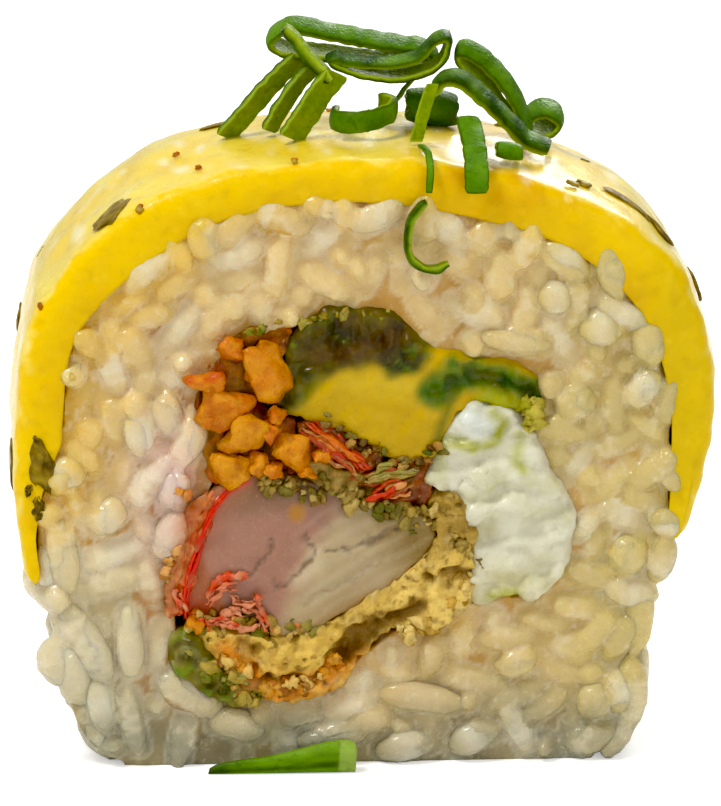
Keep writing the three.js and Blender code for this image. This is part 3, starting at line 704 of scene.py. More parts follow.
class OBJECT_OT_uramaki_rice(bpy.types.Operator):
    """Builds the sticky rice and its separate grains"""

    bl_idname = "object.uramaki_rice"
    bl_label = "Rice"
    bl_options = {"REGISTER", "UNDO"}

    FRONT_VOXEL, BACK_VOXEL, CORE_VOXEL = 0.25, 0.33, 0.44
    CORE_STEPS = 90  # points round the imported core
    PALE_GRAINS = (9, 10, 11)  # the palest of the shown grains, by their place in the list

    def execute(self, context):
        look = context.scene.uramaki_rice
        rng = random.Random(look.seed)
        length, width = look.grain_length / MM, look.grain_width / MM
        material = self.material()
        apart, flanks = [], []
        for side, name, voxel in ((-1, "rice_front", self.FRONT_VOXEL), (1, "rice_back", self.BACK_VOXEL)):
            bed, laid = Bed(), []
            if side < 0:
                apart += self.shown_grains(bed, rng)
            for kind, tries in (("whole", 5000), ("end on", 2500), ("small", 5000)):
                laid += lay_on_face(side, rng, bed, kind, tries, length, width)
            deep = lay_on_face(side, rng, Bed(), "deep", 3000, length, width)
            apart += [grain for grain in laid if grain.top > HALF + FREE_LIFT]
            grains = laid + deep + (apart if side < 0 else [])
            self.mass(name, grains, [side * (HALF - 1), side * (HALF - 2.8)], voxel, look, rng, material)
            flanks += lay_on_flank(side, rng, length, width)
        stations = [-HALF + 2.3, -5, 0, 5, HALF - 2.3]
        self.mass("rice", flanks, stations, self.CORE_VOXEL, look, rng, material)
        self.free_grains(apart, look, rng, material)
        return {"FINISHED"}

    @staticmethod
    def shown_grains(bed, rng):
        """The grains that show most, laid first, so that the seeded ones keep clear of them"""
        grains = []
        for x, z, long, wide, degrees in SHOWN_GRAINS:
            slope = math.radians(degrees)
            bed.takes(grain_spots(x, z, slope, long, wide), 0)
            lift = rng.uniform(0.3, 0.5)
            middle, direction = (x, -HALF - lift + wide / 2, z), (math.cos(slope), 0.03, math.sin(slope))
            grains.append(Grain(middle, direction, long, wide, HALF + lift - 0.2, rng.gauss(0.03, 0.04)))
        return grains

    def free_grains(self, laid, look, rng, material):
        """The grains that lie free on the others, each a closed shape"""
        heap = Heap()
        for index, grain in enumerate(laid):
            placed, faces, cut, outwards = grain_in_place(grain, rng, 14, 11, 0.05)
            pale = 0.45 if rng.random() < 0.25 or index in self.PALE_GRAINS else 0.12
            colour = rice_tint(placed, look) * (1 + grain.tone)
            heap.add(placed, faces, blended(
                colour,
                (paint(246, 240, 220), pale * clamp(1.2 - 1.5 * outwards)),
                (colour * 0.94, 0.6 * cut * (0.5 + ripple(placed, 1.2, 5)))))
        add_piece("rice_grains", *heap.merged(), "rice", material, "rice")

    def mass(self, name, grains, stations, voxel, look, rng, material):
        """Sticky rice: packed rice with its grains grown together, clear and golden between them, with
        painted shade in the creases and deep behind the cut face
        """
        heap = Heap()
        heap.add(*self.packed_core(stations))
        marks = []
        for grain in grains:
            placed, faces, _, _ = grain_in_place(grain, rng, 12, 9, 0.12)
            heap.add(placed, faces)
            pale = 0.55 if rng.random() < 0.16 else 0.05
            heading = np.array(grain.direction) / np.linalg.norm(grain.direction)
            for share in (-0.34, -0.17, 0, 0.17, 0.34):
                spot = swell([np.array(grain.middle) + share * grain.length * heading])[0]
                marks.append((*spot, grain.width / 2, grain.tone, pale * (1 - abs(share) * 1.6)))
        rice = add_piece(name, *heap.merged(), "rice", None, "rice")
        remeshed(rice, voxel)
        points = points_of(rice)
        points[:, 2] = np.where(points[:, 2] < 0.25, 0, points[:, 2])
        points += normals_of(rice) * (0.05 * ripple(points, 0.8, 5))[:, None] * (points[:, 2:] > 0.3)
        move_points(rice, points)
        paint_points(rice, self.sticky_colour(points, np.array(marks), voxel, look))
        rice.data.materials.append(material)

    def sticky_colour(self, points, marks, voxel, look):
        """The colour of grains grown together, whose marks are x, y, z, radius, tone and paleness. The gap
        colour is partly the clear rice and partly painted shade in the creases between the grains.
        """
        tree = kdtree.KDTree(len(marks))
        for i, mark in enumerate(marks):
            tree.insert(mark[:3], i)
        tree.balance()
        nearest = np.array([tree.find(p)[1:] for p in points])
        closest = marks[nearest[:, 0].astype(int)]
        beyond = nearest[:, 1] - closest[:, 3]
        gap = clamp(beyond / 0.34)
        # Painted shade: the gap colour spreads further on points that lie deeper behind the cut face
        if voxel < 0.3:
            gap = clamp(gap + np.clip((HALF - np.abs(points[:, 1]) - 0.7) / 1.2, 0, 0.6) * (
                np.abs(points[:, 0]) < 21.5))
        return blended(
            rice_tint(points, look) * (1 + closest[:, 4:5]),
            (paint(246, 240, 220), closest[:, 5]),
            # Painted highlight: a pale rim along the edge of each grain
            (paint(250, 240, 208), 0.42 * np.exp(-((beyond - 0.06) / 0.09) ** 2)),
            # Clear rice and painted shade: the gap colour in the creases between the grains
            (gap_and_shade_tint(points, look), (0.12 if voxel == self.CORE_VOXEL else 0.85) * gap))

    def packed_core(self, stations):
        """Packed rice behind the grains that show, between two places along the slice, round the filling"""
        outer = np.vstack([under_arch(RICE_SHARES, thickness_at(RICE_SHARES) - 0.3), RICE_FOOT])
        outer = smooth_path(outer[::2], self.CORE_STEPS, closed=True)
        outer[:, 0] *= 0.972
        outer[:, 1] = np.maximum(outer[:, 1], 0)
        inner = smooth_path(FILLING_EDGE[::3], self.CORE_STEPS, closed=True)
        inner = inner.mean(0) + (inner - inner.mean(0)) * 0.955
        if turns_left(outer) != turns_left(inner):
            inner = inner[::-1]
        start = np.linalg.norm(inner - outer[0], axis=1).argmin()
        inner = np.roll(inner, -start, axis=0)
        stations = sorted(stations)
        rings = [np.insert(outer, 1, y, axis=1) for y in stations]
        rings += [np.insert(inner, 1, y, axis=1) for y in reversed(stations)]
        points = swell(np.vstack(rings))
        faces = rings_to_faces(len(rings), self.CORE_STEPS, closed=True)
        return points, turned_outwards(points, faces)

    @staticmethod
    def material():
        return food_material("Cooked rice", {
            "patch": paint(224, 200, 140), "speck": paint(242, 228, 190), "patch_scale": 300,
            "patch_amount": 0.25, "speck_scale": 1500, "speck_amount": 0.3, "wet": 0.1, "dry": 0.36,
            "skin_scale": 1300, "bump": 0.0002, "through": 0.5, "reach": (0.0018, 0.0012, 0.0005),
            "coat": 0.5})


# Cheese

class OBJECT_OT_uramaki_cheese(bpy.types.Operator):
    """Builds the melted cheese sheet and the flakes that lie in it"""

    bl_idname = "object.uramaki_cheese"
    bl_label = "Cheese"
    bl_options = {"REGISTER", "UNDO"}

    AROUND = 300  # points from end to end of the sheet, on either side of it
    EDGE_ROWS = 9  # rows of faces across a cut edge
    ROUNDING = 1.5  # of the outer side towards the cut edge
    EDGE_STEPS = [0, 0.1, 0.22, 0.36, 0.52, 0.7, 0.9, 1.15, 1.5, 1.9]

    def execute(self, context):
        look = context.scene.uramaki_cheese
        self.sheet(look)
        heap = Heap()
        self.corner_flakes(heap, look)
        self.arch_flakes(heap, look)
        add_piece("cheese_flakes", *heap.merged(), "cheese", food_material("Browned flakes", {
            "patch": paint(96, 76, 6), "speck": paint(168, 140, 40), "patch_scale": 900, "patch_amount": 0.4,
            "speck_scale": 2500, "speck_amount": 0.4, "wet": 0.2, "dry": 0.45, "skin_scale": 900,
            "bump": 0.0001}, specular=0.2))
        return {"FINISHED"}

    def section(self, y):
        """The sheet's outline at y, in rows of x, y, z, how much it is outer skin, share of the arch, and
        0 on the outer side or 1 on the inner one"""
        around = self.AROUND
        past = max(0, abs(y) - (HALF - self.ROUNDING)) / self.ROUNDING
        inset = self.ROUNDING * (1 - math.sqrt(1 - min(1, past) ** 2))
        start = 0.008 + 0.006 * math.sin(0.5 * y + 1)
        end = 0.985 + 0.012 * math.sin(0.42 * y + 2.4)
        share = start + (end - start) * np.linspace(0, 1, around)
        thick = thickness_at(share)
        ends = clamp(np.minimum(np.arange(around), np.arange(around)[::-1]) / 3)
        shrink = 0.5 - 0.5 * np.sqrt(1 - (1 - ends) ** 2)
        outer = under_arch(share, np.minimum(inset, 0.4 * thick) + shrink * thick * 0.9)
        inner = under_arch(share, thick + 0.25 - shrink * (thick + 0.25) * 0.9)
        return np.vstack([
            np.c_[outer[:, 0], np.full(around, y), outer[:, 1], np.full(around, 1 - past), share,
                  np.zeros(around)],
            np.c_[inner[:, 0], np.full(around, y), inner[:, 1], np.zeros(around), share,
                np.ones(around)][::-1]])

    def sheet_rows(self):
        """Rows as in a section for the whole sheet, its cut edges too, and its faces"""
        around = self.AROUND
        stations = [-HALF + b for b in self.EDGE_STEPS] + list(np.linspace(-9.6, 9.6, 40))
        stations += [HALF - b for b in self.EDGE_STEPS[::-1]]
        parts = [self.section(y) for y in stations]
        faces = rings_to_faces(len(parts), 2 * around)
        count = len(parts) * 2 * around
        first_share = parts[0][:around, 4]
        for part, base, front in ((parts[0], 0, True), (parts[-1], count - 2 * around, False)):
            rows = [np.arange(around) + base]
            for mix in np.arange(1, self.EDGE_ROWS) / self.EDGE_ROWS:
                across = part[:around, :3] * (1 - mix) + part[::-1][:around, :3] * mix
                parts.append(np.c_[across, np.zeros(around), first_share, np.full(around, mix)])
                rows.append(np.arange(around) + count)
                count += around
            rows.append(np.arange(around)[::-1] + around + base)
            for above, below in zip(rows, rows[1:]):
                for i in range(around - 1):
                    quad = (above[i], above[i + 1], below[i + 1], below[i])
                    faces.append(quad if front else quad[::-1])
        return np.vstack(parts), faces

    def sheet(self, look):
        """The sheet: an uneven skin with streaks that run along the slice, and wavy cut edges"""
        rows, faces = self.sheet_rows()
        points, (skin, share, inwards) = rows[:, :3].copy(), rows[:, 3:].T
        lift = 0.8 * ripple(points * (1, 0.5, 1), 5.5, 2) + 0.45 * ripple(points * (1, 0.55, 1), 2.1, 4)
        lift = lift * look.ripple / MM * clamp(skin + 0.2) * (inwards < 0.5) - 0.12 * skin
        points[:, ::2] -= on_arch(share, ARCH_INWARDS) * lift[:, None]
        flat = clamp((np.abs(points[:, 1]) - HALF + 0.4) / 0.4)
        wavy = 0.16 + 0.14 * ripple(points, 2.6, 6) + 0.05 * ripple(points, 0.9, 7)
        points[:, 1] -= np.sign(points[:, 1]) * flat * wavy
        points = swell(points)
        jagged = skin + 0.34 * ripple(points * (1, 0.7, 1), 1.5, 12) + 0.2 * ripple(points, 0.7, 13)
        melted = clamp((jagged - 0.42) / 0.22) * (inwards < 0.3)
        obj = add_piece("cheese_sheet", points, turned_outwards(points, faces),
                        self.colour(points, skin, melted, inwards, look), "cheese", self.material(),
                        "cheese_sheet")
        layer = obj.data.attributes.new("skin", "FLOAT", "POINT")
        layer.data.foreach_set("value", melted.astype(np.float32))

    @staticmethod
    def colour(points, skin, melted, inwards, look):
        streak = 0.5 + 0.5 * ripple(points * (1, 0.45, 1), 2.6, 8)
        # Painted highlight: pale streaks of shine on the upper skin
        painted_highlight = clamp(ripple(points * (1, 0.4, 1), 1.5, 14) - 0.35) * 1.6
        shoulder = clamp((points[:, 2] - 30) / 14)
        # Painted shade: a darker amber patch on top of the cheese, under the spring onion
        shade_under_onion = np.exp(-((points[:, 0] - 9) / 6) ** 2 - ((points[:, 2] - 46.5) / 2.6) ** 2)
        return painted(
            points, look.cut,
            (paint(222, 172, 4), 0.55 * inwards + 0.3 * ripple(points, 3, 3)),
            # Paler melted skin in streaks: partly its own colour, partly a painted sheen
            (look.skin, melted * (0.35 + 0.55 * streak)),
            (paint(255, 240, 176), melted * painted_highlight * shoulder),
            (paint(214, 184, 8), 0.7 * clamp((points[:, 0] - 20) / 4) * (1 - skin)),
            (paint(206, 132, 4), 0.6 * shade_under_onion * (0.7 + 0.5 * ripple(points, 1.6, 9))),
            (paint(196, 150, 6), 0.35 * clamp(ripple(points, 0.8, 15) - 0.3)))

    @staticmethod
    def material():
        """Cheese that is glossy where its skin has melted and duller on the cut"""
        material = food_material("Melted cheese", {
            "patch": paint(246, 206, 6), "speck": paint(255, 226, 60), "patch_scale": 200,
            "patch_amount": 0.22, "speck_scale": 900, "speck_amount": 0.15, "wet": 0.24, "dry": 0.5,
            "skin_scale": 420, "bump": 0.00015, "through": 0.2, "reach": (0.0014, 0.001, 0.0001)},
            specular=0.2)
        tree = material.node_tree
        wet = add_node(tree, "Attribute", {"attribute_name": "skin"})
        gloss = add_node(tree, "Math", {"operation": "MULTIPLY"})
        tree.links.new(wet.outputs["Fac"], gloss.inputs[0])
        gloss.inputs[1].default_value = 0.55
        tree.links.new(gloss.outputs[0], tree.nodes["Principled BSDF"].inputs["Coat Weight"])
        tree.nodes["Principled BSDF"].inputs["Coat Roughness"].default_value = 0.16
        return material

    # Where the flakes lie: share of the arch, place along the slice, length, width, turn
    FLAKES = [
        (0.312, -9.4, 3.6, 2.6, 0.45), (0.1, -8.9, 3.4, 2.0, 0.25), (0.712, -6.6, 4.4, 1.5, 0.12),
        (0.745, -6.0, 2.6, 1.2, -0.1), (0.672, -8.6, 1.3, 0.8, 0.3), (0.662, -9.8, 1.2, 0.6, 0.2),
        (0.8, -4, 2.6, 1.2, -0.1), (0.4, 3.5, 2.6, 1.2, 0.6), (0.62, 5.5, 3, 1.2, 1.2),
        (0.86, 4, 3.2, 1.4, 0.4), (0.18, 5, 3, 1.4, 1), (0.55, -2.5, 0.7, 0.5, 0),
        (0.455, -11.0, 0.5, 0.4, 0), (0.385, -9, 0.5, 0.4, 0), (0.335, -11.5, 0.7, 0.5, 0.2),
        (0.23, -11.3, 0.5, 0.4, 0.6), (0.24, 0.5, 1.2, 0.7, 0.3), (0.68, 0, 1.0, 0.6, 0.8),
        (0.49, 8, 0.8, 0.5, 0), (0.37, -3.5, 0.6, 0.4, 0.4), (0.58, 2, 0.6, 0.5, 0.9),
    ]

    # Flakes on the rounded left corner, which face the viewer: x, z, half width, half height, lean
    CORNER_FLAKES = [(-25.35, 24.9, 1.25, 2.3, -0.35), (-25.3, 21.3, 0.6, 0.9, 0.1),
                     (-25.9, 22.7, 0.3, 0.5, 0.4)]

    def corner_flakes(self, heap, look):
        for x, z, half_width, half_height, lean in self.CORNER_FLAKES:
            points, faces = lump(4)
            ragged = 1 + 0.25 * ripple(points + x, 0.6) + 0.12 * ripple(points, 0.25, 2)
            u, v = points[:, 0] * half_width * ragged, points[:, 2] * half_height * ragged
            across, up = u * math.cos(lean) + v * math.sin(lean), v * math.cos(lean) - u * math.sin(lean)
            back = np.clip(-across, 0, 3) * 0.75 + 0.16 * ripple(points, 0.5, 3)
            placed = np.c_[x + across, -HALF + 0.12 + back + points[:, 1] * 0.24, z + up]
            colour = painted(
                placed, look.flake, (paint(84, 62, 2), 0.5 + ripple(placed, 1.0, 4)),
                (paint(182, 156, 30), 0.9 * clamp(ripple(placed, 0.6, 9))))
            both_faces(heap, placed, faces, colour)

    def arch_flakes(self, heap, look):
        """Flakes and specks on the arch, bent with it, and round its edge towards the cut face"""
        rng = random.Random(3)
        arc = np.linalg.norm(np.diff(ARCH, axis=0), axis=1).sum()
        for share, y, length, width, turn in self.FLAKES:
            points, faces = grain_form(rng, 2, 2, sides=20, rings=13)
            u, v = points[:, 0] * length / 2, points[:, 1] * width / 2 + 0.12 * width * points[:, 0] ** 2
            ragged = 1 + 0.3 * ripple(points + 9 * share, 0.6, 1)
            lift = np.clip(points[:, 2], -0.6, 0.6) * 0.22 - 0.02 + 0.04 * ripple(points, 0.5, 6)
            s = (u * math.cos(turn) - v * math.sin(turn)) * ragged
            w = (u * math.sin(turn) + v * math.cos(turn)) * ragged
            past = clamp((np.abs(y + w) - (HALF - self.ROUNDING)) / self.ROUNDING)
            inset = self.ROUNDING * (1 - np.sqrt(1 - past**2)) * 0.8
            place = under_arch(share + s / arc, -0.02 - lift + inset)
            placed = np.c_[place[:, 0], np.clip(y + w, -HALF + 0.1, HALF - 0.1), place[:, 1]]
            reddish = length < 1 and 0.2 < share < 0.6
            colour = painted(
                placed, paint(196, 96, 10) if reddish else look.flake,
                (paint(92, 72, 4), 0.6 * (0.5 + ripple(placed, 0.7, 4))),
                (paint(186, 160, 40), 0.9 * clamp(ripple(placed, 0.5, 9) + 0.1)))
            heap.add(swell(placed), faces, colour)


# Fillings

def face_share(points, reach=2.0):
    """1 on the cut faces, falling to 0 at a distance from them"""
    return clamp(1 - (HALF - np.abs(points[:, 1])) / reach)


def moved_out(points, amount, reach=2.0):
    """The points, with those near a cut face moved outwards by an amount"""
    points[:, 1] += np.sign(points[:, 1]) * face_share(points, reach) * amount
    return points


def filling(node, form, colour, material, voxel=0.26, fatten=0.32):
    """A filling from its solid: form moves its points and colour paints them"""
    obj = from_solid(node, voxel)
    points, normal = points_of(obj), normals_of(obj)
    side = clamp(1 - np.abs(normal[:, 1]) * 1.3)
    ragged = fatten + 0.22 * ripple(points, 1.3, 31) + 0.12 * ripple(points, 0.6, 32)
    points = form(points + normal * (ragged * side)[:, None])
    points[:, 1] = np.clip(points[:, 1], -HALF - 0.6, HALF + 0.6)
    move_points(obj, points)
    finish_piece(obj, colour(points), material, node)


def near_line(points, line, width):
    """1 on a line of (x, z) on the cut face, falling to 0 at a width from it"""
    line = np.array(line, float)
    start, step = line[:-1], line[1:] - line[:-1]
    away = points[:, None, [0, 2]] - start[None]
    share = clamp((away * step).sum(2) / (step * step).sum(1))
    distance = np.linalg.norm(away - share[..., None] * step, axis=2).min(1)
    return clamp(1 - distance / width)


def near_spot(points, x, z, radius):
    return clamp(1 - np.hypot(points[:, 0] - x, points[:, 2] - z) / radius)


def both_faces(heap, points, faces, colour):
    """Adds a small shape at the front cut face, and its mirror image at the back one"""
    heap.add(points, faces, colour)
    heap.add(points * (1, -1, 1), [tuple(reversed(f)) for f in faces], colour)


class OBJECT_OT_uramaki_prawn(bpy.types.Operator):
    """Builds the prawn with the cracks in its flesh and its red skin"""

    bl_idname = "object.uramaki_prawn"
    bl_label = "Prawn"
    bl_options = {"REGISTER", "UNDO"}

    # Cracks in the flesh; the last one is a shallow seam. Both are sunk in and painted dark as shade.
    CRACKS = [
        [(-7.2, 18.6), (-7.5, 17.3), (-8.4, 16.3), (-8.9, 15.5)],
        [(-4.6, 18.9), (-3.9, 17.8), (-4.2, 16.6), (-5.1, 15.7), (-6.5, 14.7), (-7.1, 14.8)],
        [(-2.9, 17.7), (-0.8, 17.8), (0.8, 18.5), (2.6, 19.5)],
        [(-5.0, 13.4), (-2.2, 14.6), (1.2, 16.6), (4.2, 18.6)],
    ]
    # The red skin along the prawn's left side
    RIM = [(-9.1, 23.3), (-10.6, 22.4), (-11.7, 21.0), (-12.3, 19.5), (-12.9, 17.7), (-13.4, 15.8),
           (-13.8, 14.0), (-13.9, 12.3)]
    # Torn strands of the red skin, as places, width and how red they are
    STRANDS = [
        ([(-12.4, 14.0), (-11.4, 15.4), (-9.3, 15.7)], 0.75, 0.9),
        ([(-12.0, 13.4), (-10.9, 14.6), (-9.6, 14.8)], 0.5, 0.5),
        ([(-11.2, 12.6), (-10.2, 13.0), (-9.0, 12.8)], 0.6, 0.0),
        ([(-8.8, 13.5), (-8.1, 12.8), (-7.2, 11.4)], 0.5, 1),
        ([(-10.4, 13.9), (-9.4, 13.2), (-8.5, 13.4)], 0.5, 0.2),
        ([(-13.4, 12.4), (-11.6, 12.1), (-9.9, 12.0)], 0.45, 0.8),
        ([(-12.8, 12.0), (-11.2, 11.6)], 0.4, 0.6),
        ([(-9.9, 11.6), (-8.5, 11.4), (-7.8, 11.8)], 0.5, 0.1),
        ([(-8.6, 14.0), (-8.0, 13.7)], 0.6, 0.7),
        ([(-14.4, 14.6), (-13.9, 13.0)], 0.6, 0.8),
    ]
    # Flesh that is left of the rim, as how far left and its colour
    ORANGE_FLESH = [(-0.5, paint(196, 84, 22)), (-1.1, paint(206, 112, 44)), (-0.2, paint(186, 58, 12)),
                    (-1.4, paint(190, 120, 66))]

    def execute(self, context):
        look = context.scene.uramaki_fillings

        def cracked(points, widths):
            crooked = self.crooked(points)
            lines = [near_line(crooked, smooth_path(c, 14), w) for c, w in zip(self.CRACKS, widths)]
            return np.max(lines[:3], axis=0), lines[3]

        def form(points):
            dome = 0.3 * ripple(points, 5, 1) + 0.06 * ripple(points, 1.1, 2)
            crack, seam = cracked(points, (0.24, 0.24, 0.18, 0.18))
            step = np.clip((points[:, 0] + 4.2) * 0.5 + (16.6 - points[:, 2]) * 0.3, -1, 1) * 0.14
            return moved_out(points, dome + step - 0.3 - 0.3 * (crack + 0.3 * seam), 1.2)

        def colour(points):
            x, z = points[:, 0], points[:, 2]
            crack, seam = cracked(points, (0.26,) * 4)
            outside = clamp((-0.42 * (z - 17.7) - x - 13.4 + 0.9) * 1.5) * (x < -9)
            fibre = np.sin((x * 0.5 - z * 0.86) * 5.5 + 1.2 * ripple(points, 2.4, 5))
            return painted(
                points, look.prawn,
                (paint(186, 166, 124), (x + 5.2 + 0.5 * (17 - z) + ripple(points, 3, 4)) / 2.4),
                (paint(140, 114, 44), (x - 0.5 - 0.4 * (17 - z)) / 3.6),
                (paint(128, 92, 52), (z - 20.8 - 0.1 * x) / 2.6),
                (paint(172, 138, 84), (13.6 - z + 0.45 * (x + 4)) / 2.4),
                (paint(224, 208, 168),
                 0.55 * near_line(points, [(-3.7, 17.4), (-3.9, 16.2), (-5.2, 15.2)], 1.1)),
                (paint(214, 200, 170), 0.13 * clamp(fibre) * clamp((x + 6) / 2)),
                (paint(150, 112, 76), 0.1 * clamp(-fibre) * clamp((x + 6) / 2)),
                # Painted shade in the cracks, fainter along the seam
                (paint(116, 84, 58), 0.6 * np.maximum(crack, 0.4 * seam)),
                (paint(214, 128, 90), 0.6 * near_line(points, self.RIM, 2.4) ** 2),
                (paint(178, 96, 40), 0.85 * outside),
                (paint(182, 60, 26), 0.9 * clamp((14.4 - z) / 1.6) * clamp((-11.2 - x) / 1.2)),
                (look.prawn_rim, 1.3 * near_line(points, self.RIM, 0.5)),
                (paint(196, 134, 24), 1.6 * near_spot(points, -5.2, 20.6, 0.95)))

        flesh = food_material("Prawn flesh", {
            "patch": paint(182, 146, 118), "speck": paint(206, 178, 150), "patch_scale": 350,
            "patch_amount": 0.12, "speck_scale": 3200, "speck_amount": 0.2, "wet": 0.2, "dry": 0.4,
            "skin_scale": 900, "bump": 0.00005, "through": 0.4, "reach": (0.002, 0.0011, 0.0007),
            "coat": 0.16})
        filling("prawn", form, colour, flesh, voxel=0.23)
        self.skin()
        return {"FINISHED"}

    @staticmethod
    def crooked(points):
        """The points, shaken a little sideways, so that a line near them runs crooked"""
        shaken = points.copy()
        shaken[:, 0] += 0.3 * ripple(points, 0.8, 21) + 0.14 * ripple(points, 0.35, 22)
        shaken[:, 2] += 0.3 * ripple(points, 0.8, 23) + 0.14 * ripple(points, 0.35, 24)
        return shaken

    def skin(self):
        """Thin red skin along the prawn's left side, orange flesh beyond it, and torn strands below"""
        heap = Heap()
        rng = random.Random(12)
        for start, wide in ((0, 0.34), (1, 0.26), (2, 0.3)):
            path = smooth_path([(x + rng.gauss(0, 0.16), z) for x, z in self.RIM[start:]], 60)
            points, faces = strand(path, -HALF + 0.12 - 0.1 * start, wide, rng)
            both_faces(heap, points, faces, painted(points, paint(216, 30, 4)))
        for shift, tone in self.ORANGE_FLESH:
            path = smooth_path([(x + shift + rng.gauss(0, 0.15), z) for x, z in self.RIM[1:]], 50)
            points, faces = strand(path, -HALF + 0.55, 1.1, rng, 10)
            points += 0.3 * np.stack([ripple(points, 0.9, k) for k in (11, 12, 13)], axis=1)
            both_faces(heap, points, faces, painted(
                points, tone, (paint(232, 158, 96), ripple(points, 0.8, 14)),
                (paint(150, 50, 10), 0.7 * clamp(ripple(points, 0.6, 15)))))
        for places, wide, red in self.STRANDS:
            for twin in range(3):
                drift = (rng.gauss(0, 0.2), rng.gauss(0, 0.2))
                path = smooth_path([(x + drift[0], z + drift[1]) for x, z in places], 22)
                depth = -HALF - 0.1 + rng.uniform(-0.25, 0.3)
                points, faces = strand(path, depth, wide * rng.uniform(0.4, 0.9), rng, 8)
                points += 0.22 * np.stack([ripple(points, 0.5, k + twin) for k in (1, 2, 3)], axis=1)
                both_faces(heap, points, faces, painted(
                    points, paint(222, 150, 108),
                    (paint(220, 58, 8), red * (0.7 + 0.8 * ripple(points, 0.9, 8))),
                    (paint(236, 110, 30), 0.4 * red * clamp(ripple(points, 0.6, 5)))))
        add_piece("prawn_skin", *heap.merged(), "prawn", food_material("Prawn skin", {
            "patch": paint(230, 74, 10), "speck": paint(244, 150, 90), "patch_scale": 900,
            "patch_amount": 0.2, "speck_scale": 3000, "speck_amount": 0.25, "wet": 0.15, "dry": 0.35,
            "skin_scale": 1200, "bump": 0.00008, "through": 0.15, "reach": (0.001, 0.0004, 0.0003),
            "coat": 0.2}))


